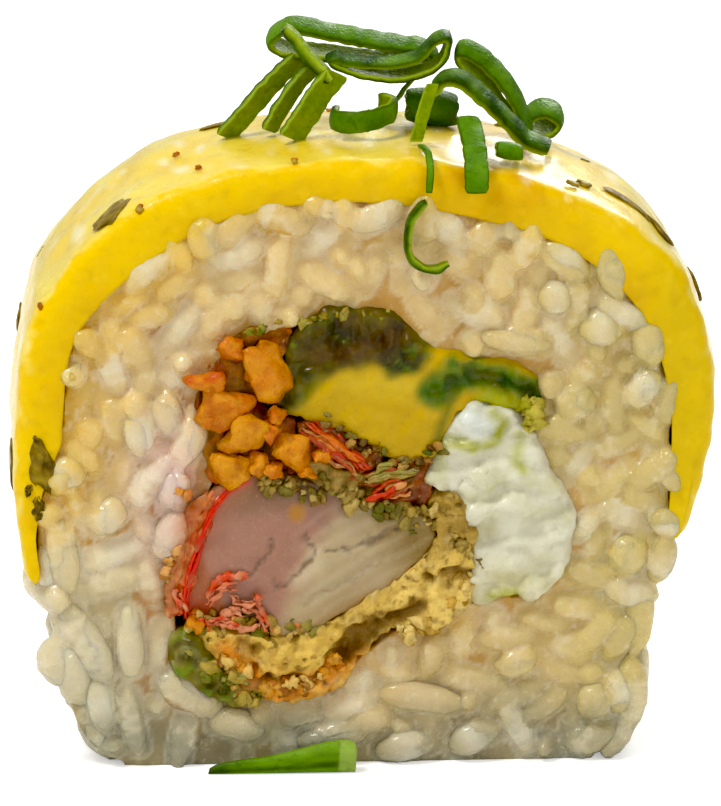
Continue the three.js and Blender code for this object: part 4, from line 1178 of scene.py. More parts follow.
class OBJECT_OT_uramaki_fillings(bpy.types.Operator):
    """Builds the avocado, batter, cream cheese, surimi shreds and fried crumbs"""

    bl_idname = "object.uramaki_fillings"
    bl_label = "Other fillings"
    bl_options = {"REGISTER", "UNDO"}

    def execute(self, context):
        look = context.scene.uramaki_fillings
        self.avocado(look)
        crust = self.batter(look)
        self.cream_cheese(look)
        self.surimi(look)
        self.crumbs(look)
        self.scraps(crust)
        return {"FINISHED"}

    # Where the avocado is dark or green, next to its rind: over its top, and at its right
    BAND = [(-8.2, 29.2), (-6.4, 31.2), (-4.4, 33.2), (-1.8, 34.8), (1.6, 34.6), (2.8, 33.6)]
    RIGHT_BAND = [(5.6, 30.2), (7.2, 31.6), (9.4, 31.4), (11.6, 30.4), (13.4, 29.4)]

    def avocado(self, look):
        flesh = food_material("Avocado", {
            "patch": paint(208, 174, 6), "speck": paint(150, 118, 10), "patch_scale": 420,
            "patch_amount": 0.14, "speck_scale": 2200, "speck_amount": 0.2, "wet": 0.16, "dry": 0.38,
            "skin_scale": 600, "bump": 0.00012, "through": 0.2, "reach": (0.0012, 0.001, 0.0002),
            "coat": 0.16},
            specular=0.2)

        def form(points):
            wet = np.maximum(near_line(points, self.BAND, 2.2), near_line(points, self.RIGHT_BAND, 1.6))
            uneven = 0.2 * ripple(points, 3, 1) + (0.12 + 0.5 * wet) * ripple(points, 1.0, 2)
            return moved_out(points, uneven - 0.25 - 0.35 * wet, 1.6)

        def colour(points):
            x, z = points[:, 0], points[:, 2]
            wobble = ripple(points, 1.6, 3)
            band = near_line(points, self.BAND, 3.1) * (2.9 + 1.3 * wobble) - 0.25
            right = near_line(points, self.RIGHT_BAND, 2.1) * (2.4 + 1.3 * wobble) - 0.3
            above = clamp((z - 34.4) / 1.2)
            return painted(
                points, look.avocado,
                (paint(184, 146, 4), np.clip(0.15 - 0.3 * ripple(points, 2.6, 7) + (26.5 - z) / 8, 0, 0.6)),
                (paint(150, 130, 4), 0.8 * clamp((-3.6 - x) / 2.4)),
                (paint(226, 200, 50), 0.4 * near_line(points, [(-1, 31), (4, 30.5)], 1.6)),
                (paint(150, 138, 10), clamp(band) * 0.8),
                (look.avocado_green, clamp(band - 0.1)),
                (paint(36, 36, 0), 0.9 * clamp(band - 0.42 + 0.6 * ripple(points, 0.9, 9))),
                (paint(92, 124, 6), 0.7 * clamp(ripple(points, 0.7, 11) * 2 - 0.9) * (band > 0.5)),
                (paint(70, 40, 2), 1.1 * near_line(points, [(-3.5, 33.0), (0.4, 33.6), (2.4, 34.6)], 1.9)),
                (paint(86, 62, 6), 0.8 * above * (0.6 + wobble)),
                (paint(84, 118, 4), clamp(right)),
                (paint(34, 68, 2), 0.9 * clamp(right - 0.8 + 0.5 * ripple(points, 0.8, 13))),
                (paint(104, 108, 6), 0.9 * near_line(points, [(7.0, 30), (6.2, 28), (5.6, 26)], 0.7)),
                (paint(164, 166, 8), 1.4 * near_line(points, [(9.4, 29.4), (11.4, 28.9), (12.4, 28.2)], 1.3)))

        filling("avocado", form, colour, flesh, voxel=0.27)

        def scrap_form(points):
            return moved_out(points, 0.6 * ripple(points, 1.8, 1) + 0.35 * ripple(points, 0.8, 2) - 0.1)

        def scrap_colour(points):
            shade = 0.4 + ripple(points, 1.2, 3)
            return painted(
                points, paint(124, 116, 30), (paint(70, 62, 6), shade),
                (paint(150, 148, 84), ripple(points, 0.9, 8)), (paint(104, 132, 12), ripple(points, 1.3, 12)))

        filling("avocado_scrap", scrap_form, scrap_colour, flesh)

    # Cavities in the batter: a line of (x, z), how wide and how deep. They are sunk in and painted dark as
    # shade, as are the small holes.
    CAVITIES = [
        ([(1.0, 11.4), (-0.6, 10.4), (-1.6, 9.2)], 1.1, 1.7),
        ([(4.4, 13.0), (2.8, 12.2), (1.4, 11.6)], 0.6, 1.1),
        ([(6.2, 15.8), (8.2, 15.6)], 0.5, 1.0), ([(4.9, 15.4), (5.3, 15.3)], 0.35, 1.0),
        ([(3.7, 12.9), (3.8, 13.5)], 0.35, 1.0), ([(-5.4, 10.8), (-5.0, 11.4)], 0.5, 0.8),
        ([(-7.6, 7.4), (-4.4, 6.9)], 0.4, 0.7), ([(7.2, 18.6), (7.6, 17.8)], 0.4, 0.8),
        ([(-9.6, 10.4), (-8.4, 9.8)], 0.5, 0.8),
    ]

    def batter(self, look):
        crust = food_material("Fried batter", {
            "patch": paint(232, 196, 104), "speck": paint(150, 98, 20), "patch_scale": 500,
            "patch_amount": 0.35, "speck_scale": 1700, "speck_amount": 0.5, "wet": 0.3, "dry": 0.7,
            "skin_scale": 900, "bump": 0.00026, "through": 0.15, "reach": (0.001, 0.0006, 0.0002),
            "coat": 0.1},
            specular=0.2)

        def pit(points):
            uneven = 1.15 + 0.3 * ripple(points, 0.7, 12)
            return np.max([near_line(points, line, wide * uneven) ** 0.6 * deep
                           for line, wide, deep in self.CAVITIES], axis=0)

        def form(points):
            right = clamp((points[:, 0] - 2) / 3)
            crag = (0.5 + 0.25 * right) * ripple(points, 1.9, 1) + 0.42 * ripple(points, 0.8, 2)
            crag += 0.2 * ripple(points, 0.42, 3)
            holes = clamp(ripple(points, 0.6, 6) - 0.6) * 1.6
            return moved_out(points, crag - holes - pit(points) + 0.1 + 0.2 * right, 2.4)

        def colour(points):
            x, z = points[:, 0], points[:, 2]
            brown = near_line(points, [(-10.5, 9.4), (-8.6, 7.0), (-5.6, 6.0), (-2.6, 6.8), (-0.8, 8.6)], 2.0)
            inner = near_line(points, [(-10, 12.4), (-5, 11.2), (-1, 12.4), (4, 15.6), (7, 19.4)], 1.2)
            rough = ripple(points, 0.9, 7)
            return painted(
                points, look.batter,
                (paint(170, 142, 72), 0.8 * inner * (0.8 + 0.5 * rough)),
                (paint(246, 212, 112), 0.95 * clamp((x - 1.4) / 2) * clamp((17.5 - z) / 2)),
                (paint(156, 124, 44), 0.9 * clamp((z - 16.6) / 2) * clamp((x - 4) / 2)),
                (paint(166, 124, 34), 0.5 * clamp(-0.25 + ripple(points, 1.3, 4))),
                (look.batter_brown, 1.3 * brown * (0.8 + 0.5 * ripple(points, 1.2, 5))),
                (paint(240, 212, 146), 0.6 * clamp(rough - 0.3)),
                # Painted shade in the cavities and the small holes
                (paint(110, 66, 6), 0.9 * clamp(np.maximum(pit(points), ripple(points, 0.6, 6) * 2 - 1.1))))

        filling("batter", form, colour, crust, voxel=0.25, fatten=0.4)

        def flake_colour(points):
            return painted(points, paint(140, 108, 36),
                           (paint(84, 58, 8), 0.5 + ripple(points, 1.0, 5)),
                           (paint(186, 156, 84), clamp(ripple(points, 0.8, 15))))

        filling("batter_flake", form, flake_colour, crust)
        return crust

    # Yellow-green smears on the cream cheese: a line of (x, z), how wide and how strong
    SMEARS = [
        ([(6.2, 26.4), (8.4, 25.7), (10.2, 26.2), (10.8, 27.6), (9.9, 28.4)], 0.75, 1),
        ([(12.0, 26.4), (11.8, 24.6), (12.8, 23.2)], 0.8, 0.7),
        ([(6.0, 25.4), (6.2, 22.8)], 0.7, 0.6), ([(10.2, 13.8), (11.8, 13.6)], 1.0, 0.8),
    ]

    def cream_cheese(self, look):
        cream = food_material("Cream cheese", {
            "patch": paint(246, 244, 226), "speck": paint(206, 206, 160), "patch_scale": 500,
            "patch_amount": 0.3, "speck_scale": 1300, "speck_amount": 0.2, "wet": 0.26, "dry": 0.5,
            "skin_scale": 700, "bump": 0.00018, "through": 0.3, "reach": (0.0012, 0.0011, 0.0008),
            "coat": 0.2})

        def form(points):
            tear = 0.4 * ripple(points * (1, 1, 1.6), 3.2, 1)
            tear += 0.3 * np.tanh(7 * ripple(points * (0.8, 1, 1.4), 2.6, 2) + 0.8 * ripple(points, 0.7, 4))
            tear += 0.2 * np.tanh(6 * ripple(points * (0.8, 1, 1.3), 1.5, 6)) + 0.06 * ripple(points, 0.5, 3)
            tip = near_line(points, [(7.4, 28.6), (8.8, 27.6)], 2.0) ** 0.5
            return moved_out(points, tear - 0.05 + 0.5 * tip, 2.4)

        def colour(points):
            smear = sum(strong * near_line(points, line, wide) for line, wide, strong in self.SMEARS)
            # Painted highlight: the top tip brighter and whiter than the rest
            tip_highlight = near_line(points, [(7.2, 29.0), (8.2, 27.8), (9.2, 27.4)], 2.0)
            return painted(
                points, look.cream,
                (paint(206, 200, 152), 0.8 * clamp(ripple(points * (0.6, 1, 1.4), 2.4, 5) * 1.6 + 0.1)),
                (paint(208, 198, 142), 0.8 * clamp((17.5 - points[:, 2]) / 4)),
                (paint(226, 232, 220), 1.1 * tip_highlight),
                (paint(172, 172, 6), 1.3 * smear * (0.9 + 0.6 * ripple(points, 1.2, 6))))

        filling("cream_cheese", form, colour, cream, fatten=0.4)

    @staticmethod
    def surimi(look):
        """Bundles of thin fibres where each shred shows, on a core that runs through the slice"""
        wet = food_material("Surimi", {
            "patch": paint(214, 96, 24), "speck": paint(240, 190, 140), "patch_scale": 800,
            "patch_amount": 0.25, "speck_scale": 2600, "speck_amount": 0.25, "wet": 0.15, "dry": 0.35,
            "skin_scale": 1000, "bump": 0.0001, "through": 0.2, "reach": (0.0012, 0.0006, 0.0004),
            "coat": 0.2})

        def form(points):
            return moved_out(points, 0.4 * ripple(points, 1.2, 1) + 0.25 * ripple(points, 0.6, 2) - 0.45)

        def colour(points):
            return painted(points, paint(136, 72, 20),
                           (paint(70, 32, 6), 0.3 + ripple(points, 1.2, 2)),
                           (paint(190, 116, 44), clamp(ripple(points, 0.9, 12))))

        for node in ("surimi_large", "surimi_small"):
            filling(node, form, colour, wet)
        heap = Heap()
        rng = random.Random(21)
        tones = [tuple(look.surimi), paint(206, 40, 2), paint(222, 150, 80), paint(176, 52, 6),
                 paint(220, 110, 20), paint(170, 110, 50)]
        olive = [paint(120, 110, 30), paint(84, 96, 12), paint(150, 144, 60), paint(156, 60, 14)]
        bundles = (((-4.6, 27.6), (0.2, 24.0), 1.5, 30, tones), ((0.4, 21.4), (3.9, 23.0), 1.3, 12, tones),
                   ((-1.0, 23.0), (4.0, 24.2), 0.9, 14, olive))
        for start, end, spread, count, palette in bundles:
            start, heading = np.array(start), np.array(end) - start
            across = np.array((-heading[1], heading[0])) / np.linalg.norm(heading)
            for _ in range(count):
                shift = rng.uniform(-spread, spread) / 2
                first = start + across * shift + heading * rng.uniform(-0.05, 0.45)
                last = start + across * (shift + rng.uniform(-0.5, 0.5)) + heading * rng.uniform(0.55, 1.05)
                path = smooth_path([first, (first + last) / 2 + across * rng.uniform(-0.35, 0.35), last], 12)
                points, faces = strand(path, -HALF + rng.uniform(-0.35, 0.45), rng.uniform(0.22, 0.6), rng)
                points += 0.2 * np.stack([ripple(points, 0.6, k) for k in (1, 2, 3)], axis=1)
                both_faces(heap, points, faces, painted(points, rng.choice(palette)))
        add_piece("surimi_fibres", *heap.merged(), "surimi", wet)

    # Crumbs that stand out of the cut face: x, z, half width, half height, how red they are
    LUMPS = [
        (-7.7, 32.4, 1.6, 2.0, 0.1), (-9.9, 33.7, 1.0, 0.8, 0.7), (-12.0, 31.3, 1.2, 0.75, 0.9),
        (-10.7, 29.2, 1.7, 1.35, 0.2), (-9.3, 26.8, 1.6, 1.35, -0.3), (-10.5, 24.4, 1.4, 1.25, -0.3),
        (-5.5, 25.5, 1.35, 1.2, 0.1), (-7.3, 27.2, 0.8, 0.9, 0.7), (-6.8, 28.6, 0.7, 0.6, 0.5),
        (-8.1, 24.6, 0.9, 0.8, 0.2), (-12.0, 28.1, 0.7, 0.7, 0.4), (-7.0, 24.2, 0.7, 0.6, 0.5),
        (-3.4, 25.2, 0.7, 0.6, 0.3), (-4.4, 24.0, 0.6, 0.5, 0.2), (-13.2, 11.9, 0.7, 0.8, 0.1),
    ]

    def crumbs(self, look):
        crust = food_material("Fried crumbs", {
            "patch": paint(240, 168, 34), "speck": paint(188, 84, 4), "patch_scale": 700,
            "patch_amount": 0.4, "speck_scale": 2000, "speck_amount": 0.5, "wet": 0.26, "dry": 0.6,
            "skin_scale": 1100, "bump": 0.00026, "through": 0.1, "reach": (0.001, 0.0004, 0.0001),
            "coat": 0.15},
            specular=0.2)

        def form(points):
            points = moved_out(points, 0.5 * ripple(points, 1.6, 1) + 0.35 * ripple(points, 0.7, 2) - 0.8)
            points[:, 1] -= np.sign(points[:, 1]) * np.clip(np.abs(points[:, 1]) - HALF + 0.7, 0, 1.2)
            return points

        def colour(points):
            return painted(points, paint(126, 58, 4),
                           (paint(62, 26, 2), 0.4 + ripple(points, 1.3, 3)),
                           (paint(196, 96, 14), ripple(points, 0.9, 6)),
                           (paint(190, 80, 20), (24.8 - points[:, 2]) / 1.5))

        filling("fried_crumbs", form, colour, crust, voxel=0.25, fatten=0.2)
        heap = Heap()
        rng = random.Random(5)
        for x, z, wide, high, red in self.LUMPS:
            points, faces = lump(3)
            shift = rng.uniform(0, 90)
            facets = np.array([(rng.gauss(0, 1), rng.gauss(0, 1), rng.gauss(0, 1)) for _ in range(8)])
            facets /= np.linalg.norm(facets, axis=1, keepdims=True)
            reach = 1 / np.maximum(1, (points @ facets.T).max(1) / 0.62)
            swollen = reach * (1 + 0.3 * ripple(points + shift, 0.8) + 0.12 * ripple(points + shift, 0.25, 2))
            points = points * swollen[:, None] * 1.3
            points = points * (wide, 0.95, high) + (x, -HALF + 0.3 - rng.uniform(0, 0.35), z)
            colour = painted(points, look.crumb,
                             (paint(226, 150, 10), 0.9 * clamp(ripple(points, 1.1, 6))),
                             (paint(208, 74, 4), red * 0.8), (paint(226, 160, 16), 0.35 - red),
                             (paint(246, 176, 40), 0.7 * clamp(ripple(points, 0.5, 12))),
                             (paint(170, 76, 4), 0.8 * clamp(-ripple(points, 0.7, 15))))
            both_faces(heap, points, faces, colour)
        points, faces, colour = heap.merged()
        points[:, 1] = np.clip(points[:, 1], -HALF - 0.8, HALF + 0.8)
        add_piece("crumb_lumps", points, faces, colour, "crumbs", crust)

    # Loose bits along the seams: a line of (x, z), spread, count, largest size and colours
    SEAMS = [
        ([(-8.4, 23.6), (-5, 22.6), (-1.5, 22.2), (1.8, 21.0), (4.2, 20.0)], 1.0, 70, 0.75,
         (paint(150, 124, 50), paint(116, 84, 24), paint(182, 156, 84), paint(96, 92, 18))),
        ([(4.2, 20.4), (6.2, 20.2), (7.8, 18.4), (8.2, 16.4)], 0.9, 40, 0.8,
         (paint(158, 130, 50), paint(204, 174, 96), paint(120, 90, 24))),
        ([(7.9, 15.6), (7.4, 13.6), (5.2, 11.4), (2.6, 10.8)], 0.8, 40, 1.0,
         (paint(232, 200, 118), paint(214, 168, 60), paint(188, 140, 40))),
        ([(-1.6, 8.6), (-4.5, 6.6), (-8.4, 6.6), (-11.2, 9.0)], 0.8, 55, 0.9,
         (paint(220, 146, 30), paint(196, 110, 10), paint(236, 190, 100), paint(150, 84, 10))),
        ([(-13.6, 11.4), (-10.6, 12.0), (-7.4, 11.2), (-4.4, 11.6)], 0.8, 45, 0.7,
         (paint(150, 116, 40), paint(208, 168, 84), paint(104, 104, 20), paint(206, 96, 40))),
        ([(-13.8, 9.6), (-11.4, 7.4), (-8.6, 5.9)], 0.9, 34, 0.9,
         (paint(110, 118, 24), paint(150, 148, 70), paint(78, 84, 10), paint(168, 146, 50))),
        ([(12.5, 29.4), (13.0, 28.4), (12.7, 27.2)], 0.3, 16, 1.1,
         (paint(150, 146, 10), paint(190, 176, 60))),
        ([(-14.0, 22.6), (-14.2, 19.8), (-14.9, 17), (-15.2, 13.8)], 0.6, 14, 0.7,
         (paint(206, 116, 48), paint(226, 150, 90), paint(180, 84, 20), paint(222, 130, 30))),
        ([(-8.6, 35.0), (-4, 36.0), (2.4, 36.4)], 0.4, 16, 0.6, (paint(112, 124, 20), paint(150, 130, 30))),
        ([(-3.6, 28.4), (0.6, 25.6), (4.2, 24.6), (5.6, 26.2)], 0.7, 36, 0.6,
         (paint(110, 70, 16), paint(92, 96, 16), paint(168, 120, 50), paint(70, 44, 8))),
    ]

    def scraps(self, crust):
        """Small crumbs and scraps strewn along the seams between the fillings"""
        heap = Heap()
        rng = random.Random(31)
        for line, spread, count, largest, palette in self.SEAMS:
            path = smooth_path(line, 200)
            for _ in range(count):
                x, z = path[rng.randrange(len(path))] + (rng.gauss(0, spread / 2), rng.gauss(0, spread / 2))
                points, faces = lump(2)
                shift, size = rng.uniform(0, 90), largest * rng.uniform(0.25, 0.72)
                rough = 1 + 0.5 * ripple(points + shift, 0.8) + 0.3 * ripple(points + shift, 0.35, 2)
                points = points * rough[:, None]
                points = points * (size * rng.uniform(0.8, 1.3), 0.4 * size + 0.1, size * rng.uniform(0.6, 1))
                turn = rng.uniform(0, math.pi)
                cos, sin = math.cos(turn), math.sin(turn)
                points = np.c_[points[:, 0] * cos - points[:, 2] * sin, points[:, 1],
                               points[:, 0] * sin + points[:, 2] * cos]
                points = points + (x, -HALF + 0.1 + rng.uniform(-0.3, 0.3), z)
                uneven = (1 + 0.25 * ripple(points, 0.5, 3))[:, None]
                both_faces(heap, points, faces, painted(points, rng.choice(palette)) * uneven)
        points, faces, colour = heap.merged()
        points[:, 1] = np.clip(points[:, 1], -HALF - 0.7, HALF + 0.7)
        add_piece("seam_scraps", points, faces, colour, "batter", crust)


def lump(level):
    """A ball of even triangles about the origin, of radius 1"""
    ball = bmesh.new()
    bmesh.ops.create_icosphere(ball, subdivisions=level, radius=1)
    points = np.array([v.co[:] for v in ball.verts])
    faces = [tuple(v.index for v in f.verts) for f in ball.faces]
    ball.free()
    return points, faces


def strand(path, y, width, rng, sides=6):
    """A thin round fibre along a path of (x, z), at about a depth y"""
    heading = along(path)
    rings = []
    for i, ((x, z), (dx, dz)) in enumerate(zip(path, heading)):
        share = i / (len(path) - 1)
        radius = width / 2 * (1 - 0.75 * abs(2 * share - 1) ** 4) * rng.uniform(0.85, 1.1)
        depth = y + 0.12 * math.sin(5 * share)
        for s in range(sides):
            a = 2 * math.pi * s / sides
            across = radius * math.cos(a)
            rings.append((x - dz * across, depth + radius * math.sin(a), z + dx * across))
    points = np.array(rings)
    faces = rings_to_faces(len(path), sides)
    faces += [tuple(range(sides))[::-1], tuple(range(len(points) - sides, len(points)))]
    return points, turned_outwards(points, faces)


# Spring onion

def in_plane(y, *places):
    """Places (x, z) as points of the plane at y"""
    return [(x, y, z) for x, z in places]


# Each band: skin colour, the way its width runs, width, wall, whether it closes, and its path
ONION = {
    "onion_strip_left_a": ("mid", (0.6, 0.75, -0.4), 2.4, 0.6, False,
                           [(-10.4, -3, 48.6), (-8.4, -2.3, 50.7), (-6.6, -1.6, 52.6), (-4.4, -1, 54.5)]),
    "onion_strip_left_b": ("mid", (0.6, 0.75, -0.35), 1.9, 0.6, False,
                           [(-7, -3.8, 49.2), (-5.8, -3.2, 51.2), (-4.4, -2.7, 53), (-3.2, -2.3, 54)]),
    "onion_strip_left_c": ("mid", (0.7, 0.6, -0.4), 2.6, 0.6, False,
                           [(-5.4, -6, 49), (-4, -5.4, 50.9), (-2.9, -4.9, 52.5), (-1.7, -4.5, 53.8)]),
    "onion_loop_left": ("dark", (0.1, 1, 0.15), 1.3, 0.95, False,
                        [(-5.7, -2.9, 57.2), (-4.8, -3.3, 56.3), (-3.7, -4.1, 54.9), (-2.2, -5, 53.4)]),
    "onion_ring_top": ("mid", (0.1, 1, 0.4), 2.4, 0.55, True, in_plane(
        -0.6, (-6.7, 55.9), (-5.3, 56.9), (-2, 56.4), (2, 55.6), (5.2, 55.1), (6, 54.4), (4.6, 54.1),
        (1, 54.3), (-3, 54.9), (-5.8, 55.2))),
    "onion_ring_middle": ("dark", (0, 1, 0.3), 1.9, 0.5, True, in_plane(
        -3, (-2.2, 54.7), (-0.2, 53.8), (2.4, 53.3), (5.1, 53.7), (6.6, 54.8), (6.9, 56.3), (6, 56.1),
        (5, 55), (3.2, 54.4), (0.5, 54.4))),
    "onion_half_ring": ("mid", (0.05, -0.15, 1), 1.8, 0.6, False,
                        [(-1.7, -3.6, 50.4), (-1.9, -5, 50.3), (-1, -6, 50.2), (0.8, -6.1, 50.4),
                        (2.3, -5.4, 50.8), (2.6, -4, 51.1), (1.6, -2.9, 51.2)]),
    "onion_thread_back": ("dark", (0, 1, 0), 0.4, 0.4, False,
                          in_plane(-1, (2.6, 49.5), (3.3, 51.3), (4.8, 53.1))),
    "onion_strip_front": ("pale", (1, 0, 0), 1.1, 0.45, False,
                          [(5.5, -7.4, 53.4), (4.9, -7.4, 51.5), (4.2, -7.8, 48.95)]),
    "onion_thread_front": ("pale", (1, 0, 0), 0.6, 0.35, False,
                           [(4.5, -9, 48.9), (4.9, -11, 48.7), (5, -12.45, 47.7), (4.9, -12.6, 45.9)]),
    "onion_curl": ("dark", (0, 1, 0), 1.4, 0.55, False, in_plane(
        -13, (4.7, 45.3), (3.7, 44.1), (3.3, 42.3), (3.7, 40.8), (5, 40.1), (6.4, 40.5))),
    "onion_strip_short": ("pale", (1, 0, 0), 1.9, 0.6, False,
                          [(8.2, -7.6, 50.7), (8.4, -9.5, 49.7), (8.5, -11.4, 48.6), (8.5, -12.75, 47.5),
                           (8.5, -12.8, 45.9)]),
    "onion_tube_back": ("mid", (1, 0.1, -0.14), 4.4, 0.5, True,
                        [(5.9, -1.8, 50.4), (5.9, -0.6, 51.4), (5.9, 0.6, 50.4), (5.9, -0.6, 49.5)]),
    "onion_tube_small": ("pale", (1, -0.1, -0.15), 2.2, 0.35, True,
                         [(11.3, -9.6, 48.4), (11.3, -9, 48.8), (11.3, -8.4, 48.4), (11.3, -9, 48)]),
    "onion_ring_right": ("mid", (0.35, 1, 0.6), 2.2, 0.5, True, in_plane(
        -2.6, (7.9, 55.3), (9.1, 55), (11, 53.3), (12.5, 51), (13.2, 48.4), (11.9, 49.8), (10.2, 52.1),
        (8.6, 54))),
    "onion_band_right": ("dark", (0.25, 1, 0.35), 2.1, 0.8, False, in_plane(
        -5.7, (5.9, 52.6), (6.5, 53.5), (7.6, 53.5), (9.6, 52), (11.6, 50), (13.1, 48.6), (14.7, 48))),
    "onion_ring_small": ("mid", (0.1, 1, 0.45), 2.7, 0.5, True, in_plane(
        0.1, (13.5, 49.1), (14.1, 49.9), (15.1, 50.1), (16, 49.3), (15.5, 48.6), (14.4, 48.5))),
}


def leaf_section(width, wall, round_by):
    """A rounded oblong, as (across, out, inner side, cut edge) for each corner point"""
    half_width, half_wall = width / 2 - round_by, wall / 2 - round_by
    corners = []
    for index, (s, o) in enumerate(((1, 1), (-1, 1), (-1, -1), (1, -1))):
        for k in range(4):
            a = math.pi / 2 * (index + k / 3)
            corners.append((s * half_width + round_by * math.cos(a), o * half_wall + round_by * math.sin(a)))
    spots = []
    for i, (s, o) in enumerate(corners):
        spots.append((s, o))
        t, p = corners[(i + 1) % len(corners)]
        steps = int(math.hypot(t - s, p - o) / 0.28)
        for k in range(1, steps):
            spots.append((s + (t - s) * k / steps, o + (p - o) * k / steps))
    spots = np.array(spots)
    inner = clamp(0.5 - spots[:, 1] / wall * 1.6)
    cut = clamp((np.abs(spots[:, 0]) - (width / 2 - 0.16)) / 0.14)
    return spots, inner, cut


def leaf_band(path, across, width, wall, closed, round_by, seed):
    """A band of leaf along a path: points, faces, and how much each point is inner side and cut edge"""
    length = np.linalg.norm(np.diff(np.array(path), axis=0), axis=1).sum()
    route = smooth_path(path, max(16, int(length / 0.22)), closed)
    heading = along(route, closed)
    side = np.array(across, float) / np.linalg.norm(across)
    out = np.cross(heading, side)
    out /= np.linalg.norm(out, axis=1, keepdims=True)
    middle = route.mean(0)
    if ((route - middle) * out).sum() < 0:
        out = -out
    spots, inner, cut = leaf_section(width, wall, min(round_by, wall / 2.2))
    rings = []
    for i, (p, o) in enumerate(zip(route, out)):
        thin = 1 + 0.22 * noise.noise(Vector(p) / 0.9 + Vector((seed, 0, 0)))
        wide = 1 - 0.2 * abs(noise.noise(Vector(p) / 0.8 + Vector((0, seed, 0))))
        p = p + 0.09 * noise.noise(Vector(p) / 0.7 + Vector((0, 0, seed))) * o
        if not closed:
            from_end = min(i, len(route) - 1 - i)
            wide *= (0.86, 0.96, 1)[min(2, from_end)]
            thin *= (0.6, 0.85, 1)[min(2, from_end)]
        ribs = 0.035 * math.sin(i * 0.9) * (spots[:, 1] > 0)
        bow = 0.07 * width * (1 - (2 * spots[:, :1] / width) ** 2)
        rings.append(p + side * (spots[:, :1] * wide) + o * (spots[:, 1:] * thin + ribs[:, None] * 0.6 + bow))
    points = np.vstack(rings)
    count = len(spots)
    faces = rings_to_faces(len(route), count, closed)
    inner, cut = np.tile(inner, len(route)), np.tile(cut, len(route))
    if not closed:
        faces += [tuple(range(count))[::-1], tuple(range(len(points) - count, len(points)))]
        cut[:count] = cut[-count:] = 1
    return points, turned_outwards(points, faces), inner, cut


def onion_material():
    return food_material("Spring onion", {
        "patch": paint(104, 146, 14), "speck": paint(34, 66, 2), "patch_scale": 650, "patch_amount": 0.3,
        "speck_scale": 1500, "speck_amount": 0.35, "wet": 0.2, "dry": 0.5, "skin_scale": 700,
        "bump": 0.00016, "through": 0.1, "reach": (0.0004, 0.0008, 0.0002)}, specular=0.12)


def onion_colour(points, inner, cut, skin, look):
    """Streaked leaf: its own green outside, yellower on the inner side, dark and pale at the cut edges"""
    streak = 0.5 + 0.5 * ripple(points * (1.6, 0.35, 1.6), 0.55, 4)
    dark = tuple(c * 0.4 for c in skin)
    return painted(
        points, skin, (dark, 0.5 * streak), (paint(126, 170, 40), 0.45 * clamp(ripple(points, 1.8, 7))),
        (look.inside, 0.95 * inner), (paint(56, 82, 0), 0.4 * inner * streak),
        (paint(176, 196, 50), 0.6 * cut * clamp(inner + 0.2)), (paint(14, 40, 0), 0.75 * cut * (1 - inner)))


class OBJECT_OT_uramaki_onion(bpy.types.Operator):
    """Builds the heap of cut spring onion on the cheese"""

    bl_idname = "object.uramaki_onion"
    bl_label = "Spring onion"
    bl_options = {"REGISTER", "UNDO"}

    def execute(self, context):
        look = context.scene.uramaki_onion
        material = onion_material()
        round_by = look.edge_round / MM
        for seed, (name, (skin, across, width, wall, closed, path)) in enumerate(ONION.items()):
            points, faces, inner, cut = leaf_band(path, across, width, wall, closed, round_by, seed)
            colour = onion_colour(points, inner, cut, tuple(getattr(look, skin)), look)
            if name == "onion_strip_left_a":
                points, faces, colour = self.with_fleck(points, faces, colour)
            add_piece(name, points, faces, colour, "spring_onion", material, name)
        return {"FINISHED"}

    @staticmethod
    def with_fleck(points, faces, colour):
        """A band of leaf with a fleck of red chilli on it"""
        fleck, fleck_faces = lump(2)
        rough = (1 + 0.2 * ripple(fleck, 0.6, 2))[:, None]
        heap = Heap()
        heap.add(points, faces, colour)
        fleck = fleck * (0.42, 0.26, 0.28) * rough + (-7.9, -1.1, 51.1)
        heap.add(fleck, fleck_faces, painted(fleck, paint(226, 70, 20)))
        return heap.merged()


